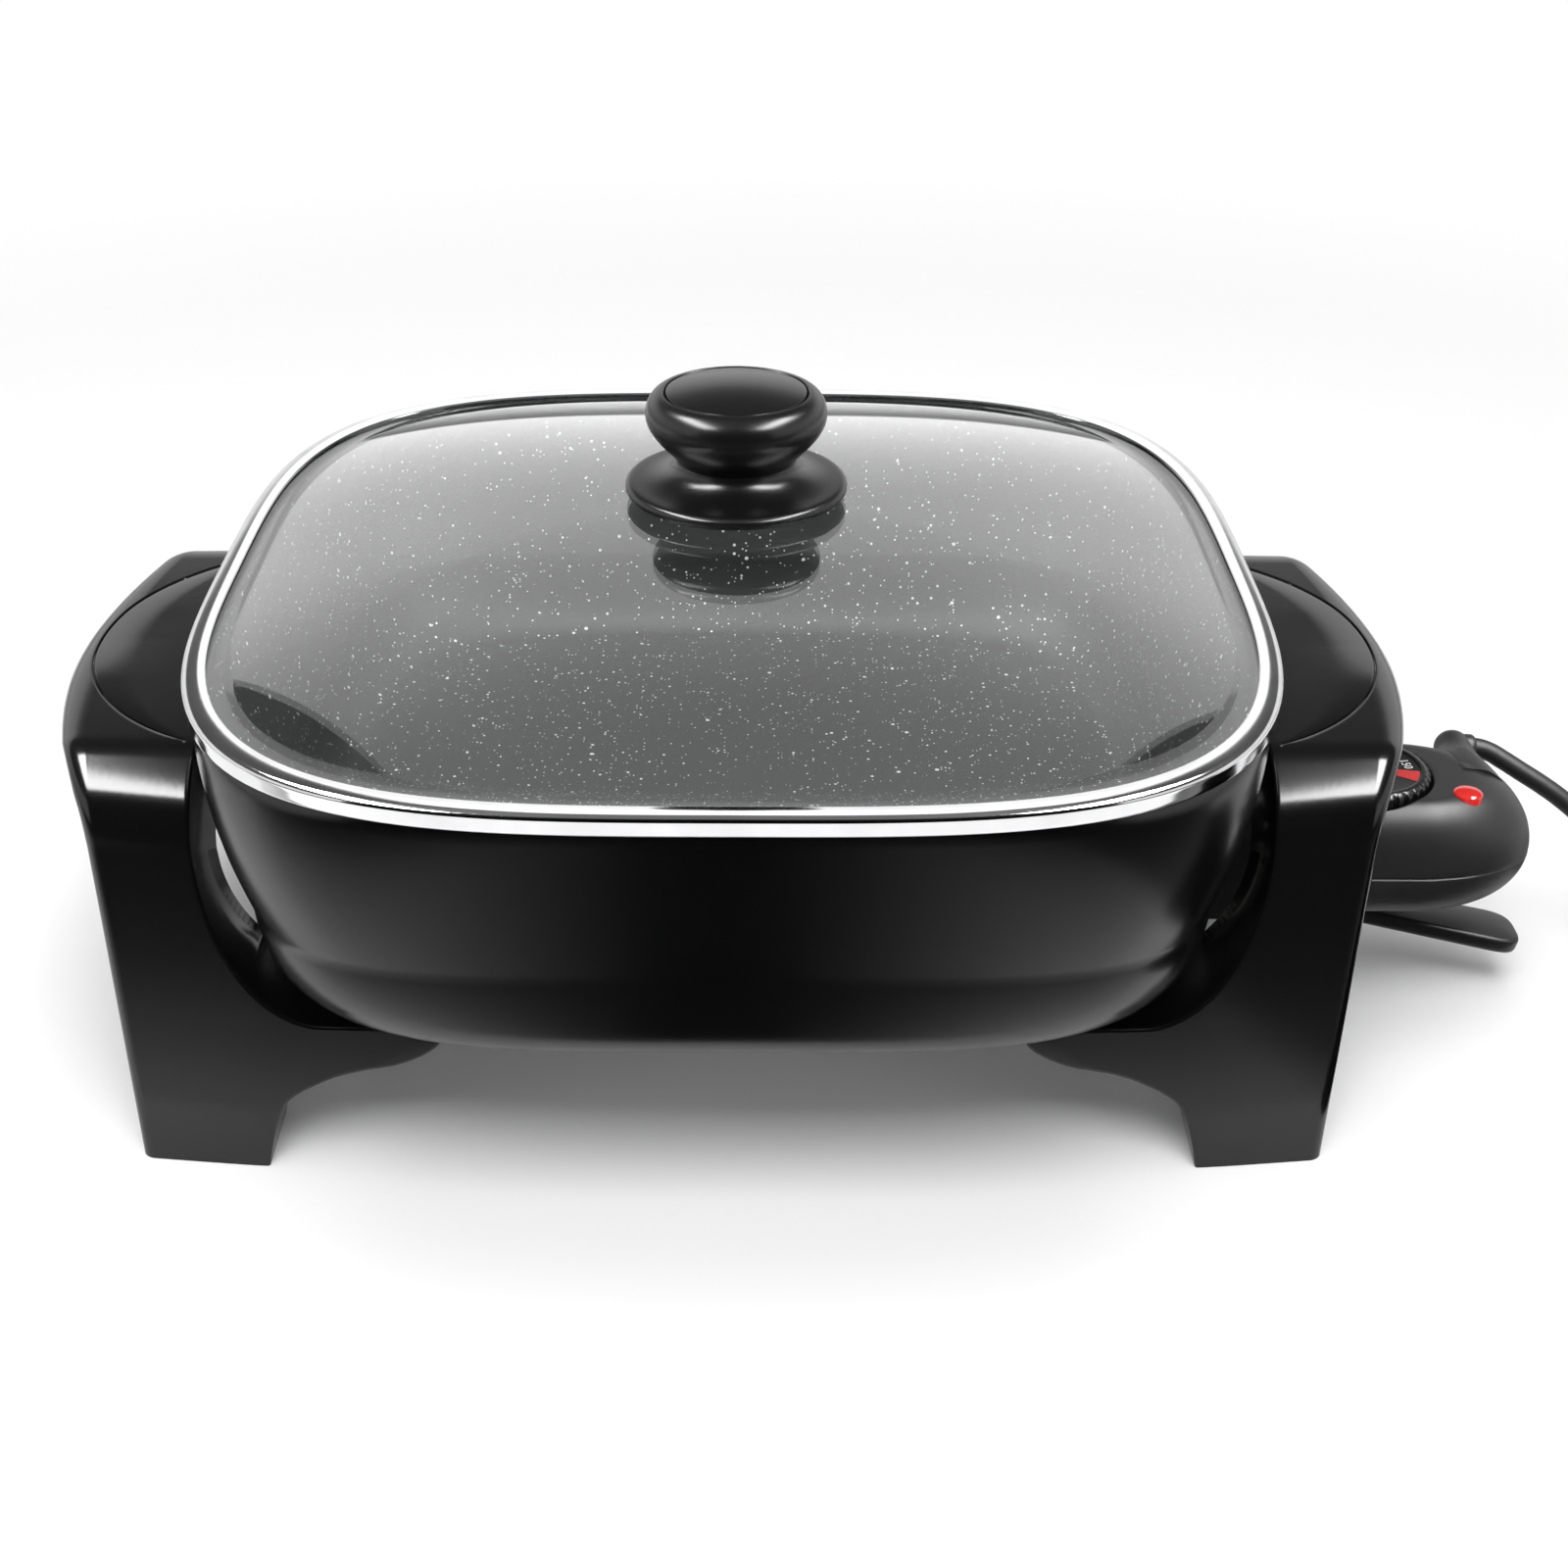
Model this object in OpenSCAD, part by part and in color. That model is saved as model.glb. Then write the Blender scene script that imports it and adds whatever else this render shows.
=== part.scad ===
// Electric skillet: a deep square cast pan carried on two moulded handles with splayed legs,
// a domed glass lid in a steel rim, and a plug-in heat control with its dial, lever and cord.
// Millimetres, Z up, resting on z = 0. Local sizes run from the middle of the pan;
// every node is shifted once by mid_shift, so the origin lies under the middle of the whole.

/* [Pan] */
// Half of the pan's outer width under the lid rim
pan_half = 158.5; // [150:0.5:164]
// Half of the pan's outer width at the foot of its walls
pan_base_half = 143; // [138:0.5:147]
// Squareness of the pan's corners at the rim (2 is round)
corner_power = 3.4; // [3:0.1:4]
// Thickness of the cast wall
pan_wall = 3.2; // [2.4:0.1:4]
// Thickness of the cast floor
pan_floor = 6; // [5:0.5:8]
// Depth of the cooking well
pan_depth = 80; // [70:1:90]
// Width of the rounding between the underside and the wall
pan_edge_w = 12; // [10:1:16]
// Height of that rounding, which makes most of the wall's lower half
pan_edge_h = 31; // [24:1:36]
// Height of the pan's underside above the table
pan_clear = 60; // [56:1:66]

/* [Heating element] */
// Radius of the element's loop
element_loop_r = 78; // [60:1:84]
// Diameter of the steel sheath
element_d = 7.8; // [6.5:0.1:8.2]
// Radius of the bends between the loop and the leads
element_bend_r = 14; // [10:1:18]
// Distance between the two terminal pins
pin_pitch = 32; // [28:1:36]
// Diameter of a terminal pin
pin_d = 4.8; // [4:0.1:5.4]
// Length of a terminal pin outside its bush
pin_length = 24; // [20:1:26]
// Width of the cast rib that holds the element
rib_w = 15; // [13:0.5:18]
// Depth of the rib below the pan's floor
rib_h = 6.5; // [6:0.5:8]

/* [Terminal guard] */
// Inside width of the guard
guard_in_w = 54; // [50:1:60]
// Thickness of the guard's walls
guard_wall = 3; // [2:0.5:4]
// Inside height of the guard
guard_in_h = 24; // [20:1:26]
// Reach of the guard from the pan towards the heat control
guard_reach = 26; // [22:1:28]

/* [Handles] */
// Half of the overall width across the two grips
grip_half = 208; // [206:0.5:216]
// Height of the grip's top face
grip_top = 124; // [120:1:126]
// Depth of the grip's skirt
grip_skirt = 26; // [22:1:28]
// Clearance between the grip's inner edge and the pan's wall beside it
grip_gap = 3.8; // [3:0.1:6]
// Half of the length of a grip between its corners
grip_corner_y = 90; // [84:1:96]
// Radius of the fold from grip to leg
fold_r = 16; // [12:1:20]
// Half of the distance between the outer faces of the feet
foot_y = 109; // [102:1:114]
// Depth of a leg from its outer to its inner face
leg_depth = 28; // [24:1:32]
// Inner edge of a foot
foot_inner_x = 140; // [136:1:144]
// Outer edge of a foot
foot_outer_x = 179.5; // [174:0.5:186]
// Wall of the handle moulding
handle_wall = 4; // [3:0.5:5]
// Width and depth of the groove round the palm rest
palm_groove = 1; // [0.8:0.1:1.6]
// Inner end of the arm under the pan
arm_x = 86; // [80:1:92]
// Height of the arm's seat under the pan's boss
arm_top = 46.5; // [44:0.5:50]
// Thickness of the arm
arm_t = 14.5; // [12:0.5:16]

/* [Lid] */
// Overhang of the lid's rim beyond the pan's brim
lid_over = 1.5; // [0.5:0.1:3]
// Height of the lid rim
rim_h = 6; // [5:0.5:8]
// Width of the rim's top flange
rim_flange = 6.5; // [6.2:0.1:9]
// Thickness of the rim's steel sheet
rim_sheet = 0.7; // [0.5:0.1:0.9]
// Thickness of the glass
glass_t = 4; // [3:0.2:4.2]
// Width of the steep shoulder inside the rim
shoulder_w = 13; // [10:1:18]
// Rise of the shoulder
shoulder_h = 8; // [5:0.5:10]
// Rise of the glass above the rim at its middle
dome_h = 22.5; // [18:0.5:28]
// Play between the lid's skirt and the pan
lid_play = 0.5; // [0.3:0.1:1]

/* [Knob] */
// Diameter of the flange at the foot of the knob
flange_d = 68; // [60:1:76]
// Diameter of the neck
neck_d = 36; // [30:1:40]
// Diameter of the grip
knob_d = 55; // [50:1:62]
// Height of the foot with its neck
foot_h = 10.5; // [9:0.5:14]
// Height of the grip above the foot
knob_h = 21; // [18:0.5:26]
// Diameter of the inset cap
cap_d = 43; // [38:1:46]
// Height of the cap's dome above the grip's top
cap_rise = 2.6; // [1:0.1:4]
// Diameter of the knob's screw
knob_screw_d = 5; // [4:0.5:6]

/* [Heat control] */
// Offset of the socket from the pan's centre line
socket_y = -4; // [-8:1:4]
// Middle of the control's housing, from the pan's middle
control_x = 215; // [212:1:218]
// Length of the housing behind its middle
control_back = 46; // [42:1:50]
// Length of the housing in front of its middle
control_front = 38; // [36:1:40]
// Half of the housing's width
control_half_w = 30; // [28:0.5:34]
// Height of the housing's seam
seam_z = 57; // [54:1:60]
// Height of the housing's cover above the seam
cover_h = 23; // [20:1:26]
// Depth of the housing's base below the seam
base_h = 19; // [17:1:19]
// Wall of the housing
control_wall = 2.4; // [2:0.2:3]
// Diameter of the temperature probe
probe_d = 8; // [6:0.2:9]
// Reach of the probe under the pan, from the pan's middle
probe_tip_x = 98; // [92:1:110]
// Diameter of the dial
dial_d = 42; // [36:1:44]
// Thickness of the dial
dial_t = 7.6; // [6:0.2:10]
// Diameter of the dial's shaft
dial_shaft_d = 6; // [5:0.5:8]
// Diameter of the indicator lens
lens_d = 9.4; // [7:0.2:10]

/* [Release lever] */
// Distance of the lever's pin from the pan's middle
lever_pin_x = 189; // [187:1:192]
// Height of the lever's pin
lever_pin_z = 34; // [32:0.5:34.5]
// Diameter of the lever's pin
lever_pin_d = 3; // [2.5:0.1:4]
// Length of the lever behind its pin
lever_length = 75; // [65:1:80]
// Width of the lever
lever_w = 20; // [16:1:24]
// Thickness of the lever
lever_t = 5.5; // [4:0.5:6]
// Slope of the lever at rest, in degrees
lever_slope = 13; // [11:0.5:14]

/* [Cord] */
// Diameter of the cord
cord_d = 6.6; // [5:0.1:7]

/* [Hidden] */

ring_n = 72;
egg_n = 40;
fine = 72;

// Heights
floor_z = pan_clear + pan_floor;
brim_z = floor_z + pan_depth;
rim_z = brim_z + rim_h;
axis_z = pan_clear - 5;
pan_base_power = corner_power + 0.7;
pan_waist_power = corner_power + 1.6;
rim_half = pan_half + lid_over;
grip_inner = wall_half(grip_top) + grip_gap;

// Extent of the whole along X, which sets the origin
lever_end_x = lever_pin_x + lever_length + lever_t / 2 * sin(lever_slope);
right_end = max(lever_end_x, control_x + control_back);
mid_shift = (grip_half - right_end) / 2;

// ---- Shared shapes ---------------------------------------------------------------------------

function sgn(v) = v < 0 ? -1 : 1;
function bent(v, power) = sgn(v) * pow(abs(v), 2 / power);
function mix(a, b, t) = a + (b - a) * t;
function backwards(l) = [for (i = [len(l) - 1:-1:0]) l[i]];

// Superellipse of half-widths a and b, at height z
function oval(a, b, power, z) = [for (i = [0:ring_n - 1]) let (t = 360 * i / ring_n)
    [a * bent(cos(t), power), b * bent(sin(t), power), z]];
function squircle(a, power, z) = oval(a, a, power, z);

// Points of an arc in a plane, from angle a0 to a1
function arc(cx, cy, r, a0, a1, n) = [for (i = [0:n]) let (t = mix(a0, a1, i / n))
    [cx + r * cos(t), cy + r * sin(t)]];

// Solid between rings of equal point counts; closed on itself, or capped at both ends by one
// polygon or by the polygons of cap, given as places along a ring
module skin(rings, closed = false, cap = []) {
    n = len(rings[0]);
    m = len(rings);
    last = closed ? m - 1 : m - 2;
    ends = len(cap) > 0 ? cap : [[for (j = [0:n - 1]) j]];
    sides = [for (i = [0:last], j = [0:n - 1])
        let (k = (i + 1) % m, l = (j + 1) % n)
        each [[i * n + j, k * n + j, k * n + l], [i * n + j, k * n + l, i * n + l]]];
    caps = closed ? [] : concat(ends, [for (e = ends) [for (j = backwards(e)) (m - 1) * n + j]]);
    polyhedron(points = [for (r = rings) each r], faces = concat(sides, caps), convexity = 8);
}

// Direction of a route at point i
function unit(v) = v / norm(v);
function heading(route, i) = unit(route[min(i + 1, len(route) - 1)] - route[max(i - 1, 0)]);

// Tube of radius r swept along a route, with the given number of sides
module tube(route, r, sides) {
    skin([for (i = [0:len(route) - 1])
        let (h = heading(route, i), side = unit(cross(h, [0.02, 0.03, 1])), up = cross(side, h))
        [for (j = [0:sides - 1]) let (t = -360 * j / sides)
            route[i] + r * (cos(t) * side + sin(t) * up)]]);
}

// Turned solid on a vertical axis at p
module turned(profile, p = [0, 0, 0]) {
    translate(p) rotate_extrude($fn = fine) polygon(profile);
}

module rod(d, h) { cylinder(d = d, h = h, $fn = fine); }
module rod_x(d, h) { rotate([0, 90, 0]) rod(d, h); }
module rod_y(d, h) { rotate([-90, 0, 0]) rod(d, h); }
module shifted() { translate([mid_shift, 0, 0]) children(); }
module mirrored_y() { children(); mirror([0, 1, 0]) children(); }

// Pan head screw pointing up, its head below z = 0
module screw(d, length) {
    rod(d, length);
    translate([0, 0, -0.6 * d]) difference() {
        rod(2 * d, 0.6 * d);
        for (a = [0, 90]) rotate(a) translate([-0.7 * d, -0.12 * d, -0.01])
            cube([1.4 * d, 0.24 * d, 0.3 * d]);
    }
}

// ---- Pan -------------------------------------------------------------------------------------

handle_screw_d = 5;
boss_d = 14;
arm_mid_y = foot_y - leg_depth / 2 - arm_top * (foot_y - grip_corner_y) / grip_top;
arm_screw_x = arm_x + 10;
guard_back_x = pan_base_half + 3;
guard_screw_inset = 23;
guard_screw_x = pan_base_half - guard_screw_inset;
guard_screw_y = pin_pitch / 2 + 10;
guard_screw_d = 3.5;
guard_boss_d = 9;
guard_bottom = axis_z - guard_in_h / 2 + 2;
probe_bore_d = probe_d + 0.4;
probe_boss_d = 16;
probe_boss_inset = 10;
probe_boss_x = [probe_tip_x - 8, pan_base_half - probe_boss_inset];

// Half-width of the pan's outer wall at height z above its lower edge
function wall_half(z) = mix(pan_base_half, pan_half,
    (z - pan_clear - pan_edge_h) / (brim_z - pan_clear - pan_edge_h));

// Squareness of the pan at height z: a parabola, squarest at the waist
function wall_power(z) =
    let (t = (z - pan_clear) / (brim_z - pan_clear),
        bow = 2 * (pan_base_power - 2 * pan_waist_power + corner_power))
    pan_base_power + (corner_power - pan_base_power - bow) * t + bow * t * t;

inner_edge_w = pan_edge_w + 2;
inner_edge_h = pan_edge_h - 4;
inner_foot_half = wall_half(floor_z + inner_edge_h) - pan_wall;
outer_rings = concat(
    [for (a = [0:18:90]) let (z = pan_clear + pan_edge_h * (1 - cos(a)))
        squircle(pan_base_half - pan_edge_w * (1 - sin(a)), wall_power(z), z)],
    [for (t = [0.35, 0.7]) let (z = mix(pan_clear + pan_edge_h, brim_z, t))
        squircle(wall_half(z), wall_power(z), z)],
    [squircle(wall_half(brim_z - 1), wall_power(brim_z - 1), brim_z - 1),
        squircle(pan_half - 1, corner_power, brim_z)]);
inner_rings = concat(
    [squircle(pan_half - pan_wall, corner_power, brim_z)],
    [for (t = [0.7, 0.35]) let (z = mix(floor_z + inner_edge_h, brim_z, t))
        squircle(wall_half(z) - pan_wall, wall_power(z), z)],
    [for (a = [90:-18:0]) let (z = floor_z + inner_edge_h * (1 - cos(a)))
        squircle(inner_foot_half - inner_edge_w * (1 - sin(a)), wall_power(z), z)]);

module pan() {
    color("#2b2b2d") shifted() difference() {
        union() {
            skin(concat(outer_rings, inner_rings));
            for (s = [-1, 1]) scale([s, 1, 1]) mirrored_y()
                translate([arm_screw_x, arm_mid_y, arm_top]) rod(boss_d, pan_clear - arm_top + 1);
            element_rib();
            probe_boss();
            for (s = [-1, 1])
                translate([guard_screw_x, socket_y + s * guard_screw_y, guard_bottom])
                    rod(guard_boss_d, pan_clear - guard_bottom + 1);
        }
        for (s = [-1, 1]) scale([s, 1, 1]) mirrored_y()
            translate([arm_screw_x, arm_mid_y, arm_top - 1]) rod(handle_screw_d, 12);
        translate([probe_tip_x - 2, socket_y, axis_z]) rod_x(probe_bore_d, 60);
        for (s = [-1, 1])
            translate([guard_screw_x, socket_y + s * guard_screw_y, guard_bottom - 1])
                rod(guard_screw_d, 10);
    }
}

module probe_boss() {
    translate([probe_boss_x[0], socket_y, axis_z])
        rod_x(probe_boss_d, probe_boss_x[1] - probe_boss_x[0]);
}

// ---- Heating element -------------------------------------------------------------------------

lead_y = pin_pitch / 2;
bend_y = lead_y + element_bend_r;
bend_x = sqrt(pow(element_loop_r + element_bend_r, 2) - pow(bend_y, 2));
bend_a = atan2(bend_y, bend_x);
lead_end_x = pan_base_half - 3.5;

// Middle line of the sheath from one terminal round the loop to the other, in plan
element_half = concat(
    [[lead_end_x, lead_y], [mix(lead_end_x, bend_x, 0.5), lead_y]],
    arc(bend_x, bend_y, element_bend_r, 270, 180 + bend_a, 5),
    [for (i = [1:20]) let (t = mix(bend_a, 180, i / 20)) element_loop_r * [cos(t), sin(t)]]);
element_line = concat(element_half,
    [for (i = [len(element_half) - 2:-1:0]) [element_half[i][0], -element_half[i][1]]]);

// Cast ring on the pan's underside, open where the element bends away to its terminals
element_play = 0.25;
module element_rib() {
    gap_y = element_loop_r * sin(bend_a) + 2;
    translate([0, socket_y, 0]) difference() {
        translate([0, 0, pan_clear - rib_h]) rod(2 * element_loop_r + rib_w, rib_h + 1);
        translate([0, 0, pan_clear - rib_h - 1]) rod(2 * element_loop_r - rib_w, rib_h + 3);
        translate([0, -gap_y, pan_clear - rib_h - 1])
            cube([2 * element_loop_r, 2 * gap_y, rib_h + 3]);
        translate([0, 0, axis_z]) rotate_extrude($fn = fine)
            translate([element_loop_r, 0]) circle(d = element_d + 2 * element_play, $fn = 32);
    }
}

module heating_element() {
    color("#8f8f92") shifted() translate([0, socket_y, axis_z])
        tube([for (p = element_line) [p[0], p[1], 0]], element_d / 2, 10);
}

bush_d = 9;
bush_l = 8;
module each_terminal(x) {
    for (s = [-1, 1]) translate([x, socket_y + s * lead_y, axis_z]) children();
}

module terminal_bushes() {
    color("#e8e2d4") shifted() each_terminal(lead_end_x) difference() {
        union() {
            rod_x(bush_d, bush_l);
            rod_x(bush_d + 3, 2.5);
        }
        translate([-1, 0, 0]) rod_x(pin_d, bush_l + 2);
    }
}

module terminal_pins() {
    color("#b9b9b4") shifted() each_terminal(lead_end_x) union() {
        rod_x(pin_d, bush_l + pin_length - 2);
        translate([bush_l + pin_length - 2, 0, 0]) rotate([0, 90, 0])
            cylinder(d1 = pin_d, d2 = pin_d - 2, h = 2, $fn = fine);
    }
}

// ---- Terminal guard --------------------------------------------------------------------------

guard_out_w = guard_in_w + 2 * guard_wall;
module terminal_guard() {
    color("#1b1b1c") shifted() translate([0, socket_y, 0]) difference() {
        union() {
            translate([guard_back_x, -guard_out_w / 2, guard_bottom - guard_wall])
                cube([guard_reach, guard_out_w, guard_in_h + 2 * guard_wall]);
            for (s = [-1, 1]) translate([guard_screw_x, s * guard_screw_y, guard_bottom - guard_wall])
                rod(guard_boss_d + 3, guard_wall);
            translate([guard_screw_x, -guard_screw_y, guard_bottom - guard_wall])
                cube([guard_back_x - guard_screw_x + 1, 2 * guard_screw_y, guard_wall]);
        }
        translate([guard_back_x + guard_wall, -guard_in_w / 2, guard_bottom])
            cube([guard_reach, guard_in_w, guard_in_h]);
        for (s = [-1, 1]) {
            translate([guard_back_x - 1, s * lead_y, axis_z]) rod_x(bush_d + 0.6, guard_wall + 2);
            translate([guard_screw_x, s * guard_screw_y, guard_bottom - guard_wall - 1])
                rod(guard_screw_d + 0.5, guard_wall + 2);
        }
        translate([guard_back_x - 1, 0, axis_z]) rod_x(probe_d + 2, guard_wall + 2);
    }
}

module guard_screws() {
    color("#9a9a9c") shifted() for (s = [-1, 1])
        translate([guard_screw_x, socket_y + s * guard_screw_y, guard_bottom - guard_wall])
            screw(guard_screw_d, guard_wall + 7);
}

// ---- Handles ---------------------------------------------------------------------------------

corner_in_y = grip_corner_y - leg_depth;
grip_under = grip_top - grip_skirt;
grip_bow = 1.8;
leg_outer_x = 189.4;
arm_gap_r = 11.5;
arm_end_r = 7;
wing_w = 36;
wing_h = 57;
edge_r = 4;
leg_turn = 0.12;

// Outer edge of the grip: a flat bow along its length
function bow_x(y) = grip_half - (grip_half - leg_outer_x) * pow(abs(y) / grip_corner_y, grip_bow);

// Inner edge of a leg from the table up, as [x, z]: foot, arm under the pan, and wing
leg_edge = concat(
    [[foot_inner_x, 0]],
    arc(foot_inner_x - 2.5 - arm_gap_r, arm_top - arm_t - 8 - arm_gap_r, arm_gap_r, 0, 70, 3),
    [[arm_x + 20, arm_top - arm_t - 1]],
    arc(arm_x + arm_end_r, arm_top - arm_end_r, arm_end_r, -80, -259, 4),
    [for (a = [-90:18:0]) [grip_inner - wing_w * (1 - cos(a)), arm_top + wing_h * (1 + sin(a))]]);

// Splayed line of a leg's outer and inner face, as Y at height z
function leg_y(z, inner) = inner
    ? mix(foot_y - leg_depth, corner_in_y, z / grip_under)
    : mix(foot_y, grip_corner_y, z / grip_top);
function leg_x1(z) = mix(foot_outer_x, leg_outer_x, z / grip_top);

// Height on a leg's inner face beside height z of its outer face: level below, lower by the fold
leg_level = 60;
inner_fold_z = grip_under - fold_r + 3;
function inner_z(z) = z < leg_level ? z
    : mix(leg_level, inner_fold_z, (z - leg_level) / (arm_top + wing_h - leg_level));

// Rounded corner between a leg line and the grip's level line: [y, z] from leg to grip
function fold(inner, r, steps) =
    let (fy = leg_y(0, inner), cy = inner ? corner_in_y : grip_corner_y,
        cz = inner ? grip_under : grip_top, u = unit([cy - fy, cz]),
        turn = acos(-u[0]), t = r * tan(turn / 2))
    [for (i = [0:steps]) let (a = mix(90 - turn, 90, i / steps))
        [cy - t + r * cos(a), cz - r + r * sin(a)]];

fold_steps = 6;
fold_out = fold(false, fold_r, fold_steps);
fold_in = fold(true, fold_r - 4, fold_steps);
grip_steps = 3;

// Stations of a half handle: [outer [y, z], inner [y, z], inner edge x, outer edge x, softness,
// turn], where the turn sets the leg's outer edge back from its inner one
half_stations = concat(
    [for (p = leg_edge) let (z = inner_z(p[1])) [[leg_y(p[1], false), p[1]],
        [leg_y(z, true), z], p[0], leg_x1(p[1]), 0, leg_turn]],
    [for (i = [0:fold_steps]) [fold_out[i], fold_in[i], grip_inner,
        i == 0 ? leg_x1(fold_out[i][1]) : bow_x(fold_out[i][0]), i / fold_steps * 0.5,
        leg_turn * (1 - i / fold_steps)]],
    [for (i = [1:grip_steps]) let (y = fold_out[fold_steps][0] * (1 - i / (grip_steps + 0.5)))
        [[y, grip_top], [y * fold_in[fold_steps][0] / fold_out[fold_steps][0], grip_under],
        grip_inner, bow_x(y), 0.5 + 0.5 * i / grip_steps, 0]]);
function flipped(s) = [[-s[0][0], s[0][1]], [-s[1][0], s[1][1]], s[2], s[3], s[4], s[5]];
stations = concat([for (s = half_stations) flipped(s)], backwards(half_stations));

// Section of the moulding at one station: [x, depth] round an open channel of depth d
function channel(x0, x1, soft, d) =
    let (rx = mix(5, 12, soft), rd = mix(4, 6, soft), w = handle_wall,
        hollow = max(x0, foot_inner_x) + w)
    concat(
        [for (a = [0:45:90]) [x0 + edge_r * (1 - cos(a)), edge_r * (1 - sin(a))]],
        [for (a = [0:22.5:90]) [x1 - rx + rx * sin(a), rd * (1 - cos(a))]],
        [[x1, d], [x1 - w, d], [x1 - w, rd + 1], [x1 - rx, w + 0.5], [hollow, w + 0.5],
            [hollow, d], [x0, d]]);

// The channel's section as triangles, for the two feet
channel_cap = [[0, 1, 2], [0, 2, 12], [2, 3, 11], [2, 11, 12], [3, 4, 11], [4, 5, 11], [5, 6, 10],
    [5, 10, 11], [6, 7, 10], [7, 8, 10], [8, 9, 10], [0, 12, 14], [12, 13, 14]];

function station_ring(s) =
    let (o = s[0], i = s[1], d = norm(i - o), u = (i - o) / d)
    [for (p = channel(s[2], s[3], s[4], d)) [p[0],
        o[0] + u[0] * p[1] - sgn(o[0]) * s[5] * max(0, p[0] - foot_inner_x),
        o[1] + u[1] * p[1]]];

// Outline of the palm rest on the grip: straight by the pan, round outside
palm_r = 72;
palm_x = grip_half - 5.5 - palm_r;
module palm_line() {
    translate([palm_x, 0, grip_top - 2.6]) linear_extrude(5) intersection() {
        difference() {
            circle(r = palm_r, $fn = fine);
            circle(r = palm_r - palm_groove, $fn = fine);
        }
        translate([grip_inner - palm_x + edge_r, -palm_r]) square([palm_r, 2 * palm_r]);
    }
}

// One handle on the +X side
module handle() {
    difference() {
        skin([for (s = stations) station_ring(s)], cap = channel_cap);
        palm_line();
        mirrored_y() translate([arm_screw_x, arm_mid_y, 0]) {
            rod(handle_screw_d + 0.6, arm_top + 1);
            rod(2 * handle_screw_d + 1.5, arm_top - 7);
        }
    }
}

module handle_right() { color("#1c1c1e") shifted() handle(); }
module handle_left() { color("#1c1c1e") shifted() mirror([1, 0, 0]) handle(); }

module handle_screws() {
    color("#9a9a9c") shifted() for (s = [-1, 1]) scale([s, 1, 1]) mirrored_y()
        translate([arm_screw_x, arm_mid_y, arm_top - 7]) screw(handle_screw_d, 7 + 10);
}

// ---- Lid -------------------------------------------------------------------------------------

seal_t = 1.4;
seal_d = 26;
skirt_drop = 3;
skirt_in = rim_half - (wall_half(brim_z - skirt_drop) - pan_wall - lid_play);
glass_inset = rim_sheet + 1.3;
glass_low = rim_sheet + 0.2;

// Section of the rolled steel rim: [inset from the rim's outer width, height above the brim]
rim_section = [[0.3, 0], [0, 0.3], [0, rim_h - 1.6], [0.5, rim_h - 0.6], [1.6, rim_h],
    [rim_flange, rim_h], [rim_flange, rim_h - rim_sheet],
    [1.9, rim_h - rim_sheet], [rim_sheet, rim_h - 2],
    [rim_sheet, rim_sheet], [skirt_in + rim_sheet, rim_sheet],
    [skirt_in + rim_sheet, -skirt_drop], [skirt_in, -skirt_drop], [skirt_in, 0]];

module lid_rim() {
    color("#d6d6d8") shifted() skin([for (p = rim_section)
        squircle(rim_half - p[0], corner_power, brim_z + p[1])], closed = true);
}

// Height of the glass's upper face at half-width a
border_a = rim_half - rim_flange - 1.5;
dome_a = border_a - shoulder_w;
border_z = brim_z + glass_low + glass_t;
dome_z = border_z + shoulder_h;
apex_z = rim_z + dome_h;
hub_a = seal_d / 2 + 1;
function glass_z(a) = a >= border_a ? border_z
    : a >= dome_a ? mix(dome_z, border_z, pow((a - dome_a) / shoulder_w, 1.6))
    : apex_z - (apex_z - dome_z) * pow(max(0, a - hub_a) / (dome_a - hub_a), 2);
function glass_power(a) = mix(2, corner_power, pow(min(1, a / border_a), 0.6));
glass_hole_d = knob_screw_d + 2;
function glass_steps(shoulder, dome) = concat([rim_half - glass_inset],
    [for (i = [0:shoulder]) border_a - shoulder_w * i / shoulder],
    [for (i = [dome - 1:-1:0]) mix(hub_a, dome_a, i / dome)], [glass_hole_d / 2]);
glass_a = glass_steps(3, 4);
glass_under_a = glass_steps(2, 3);

module lid_glass() {
    upper = [for (a = glass_a) squircle(a, glass_power(a), glass_z(a))];
    lower = [for (a = backwards(glass_under_a))
        squircle(a, glass_power(a), glass_z(a) - glass_t)];
    color("#c9d2d6", 0.4) shifted() skin(concat(upper, lower), closed = true);
}

// ---- Knob ------------------------------------------------------------------------------------

knob_foot_z = apex_z + seal_t;
neck_z = knob_foot_z + foot_h;
knob_top_z = neck_z + knob_h;
insert_d = 9;
insert_l = 12;
knob_bore_d = knob_screw_d + 1;

// Foot of the knob: a thin flange that sweeps up into the neck
module knob_base() {
    r = flange_d / 2;
    n = neck_d / 2;
    sweep = r - n - 3;
    color("#161617") shifted() turned(concat(
        [[knob_bore_d / 2, 0], [r - 1.2, 0], [r, 1], [r, 3], [r - 1, 4]],
        [for (i = [1:6]) let (a = 90 * i / 6)
            [r - 1 - (sweep + 2) * sin(a), 4 + (foot_h - 4) * (1 - cos(a))]],
        [[knob_bore_d / 2, foot_h]]), [0, 0, knob_foot_z]);
}

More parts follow.
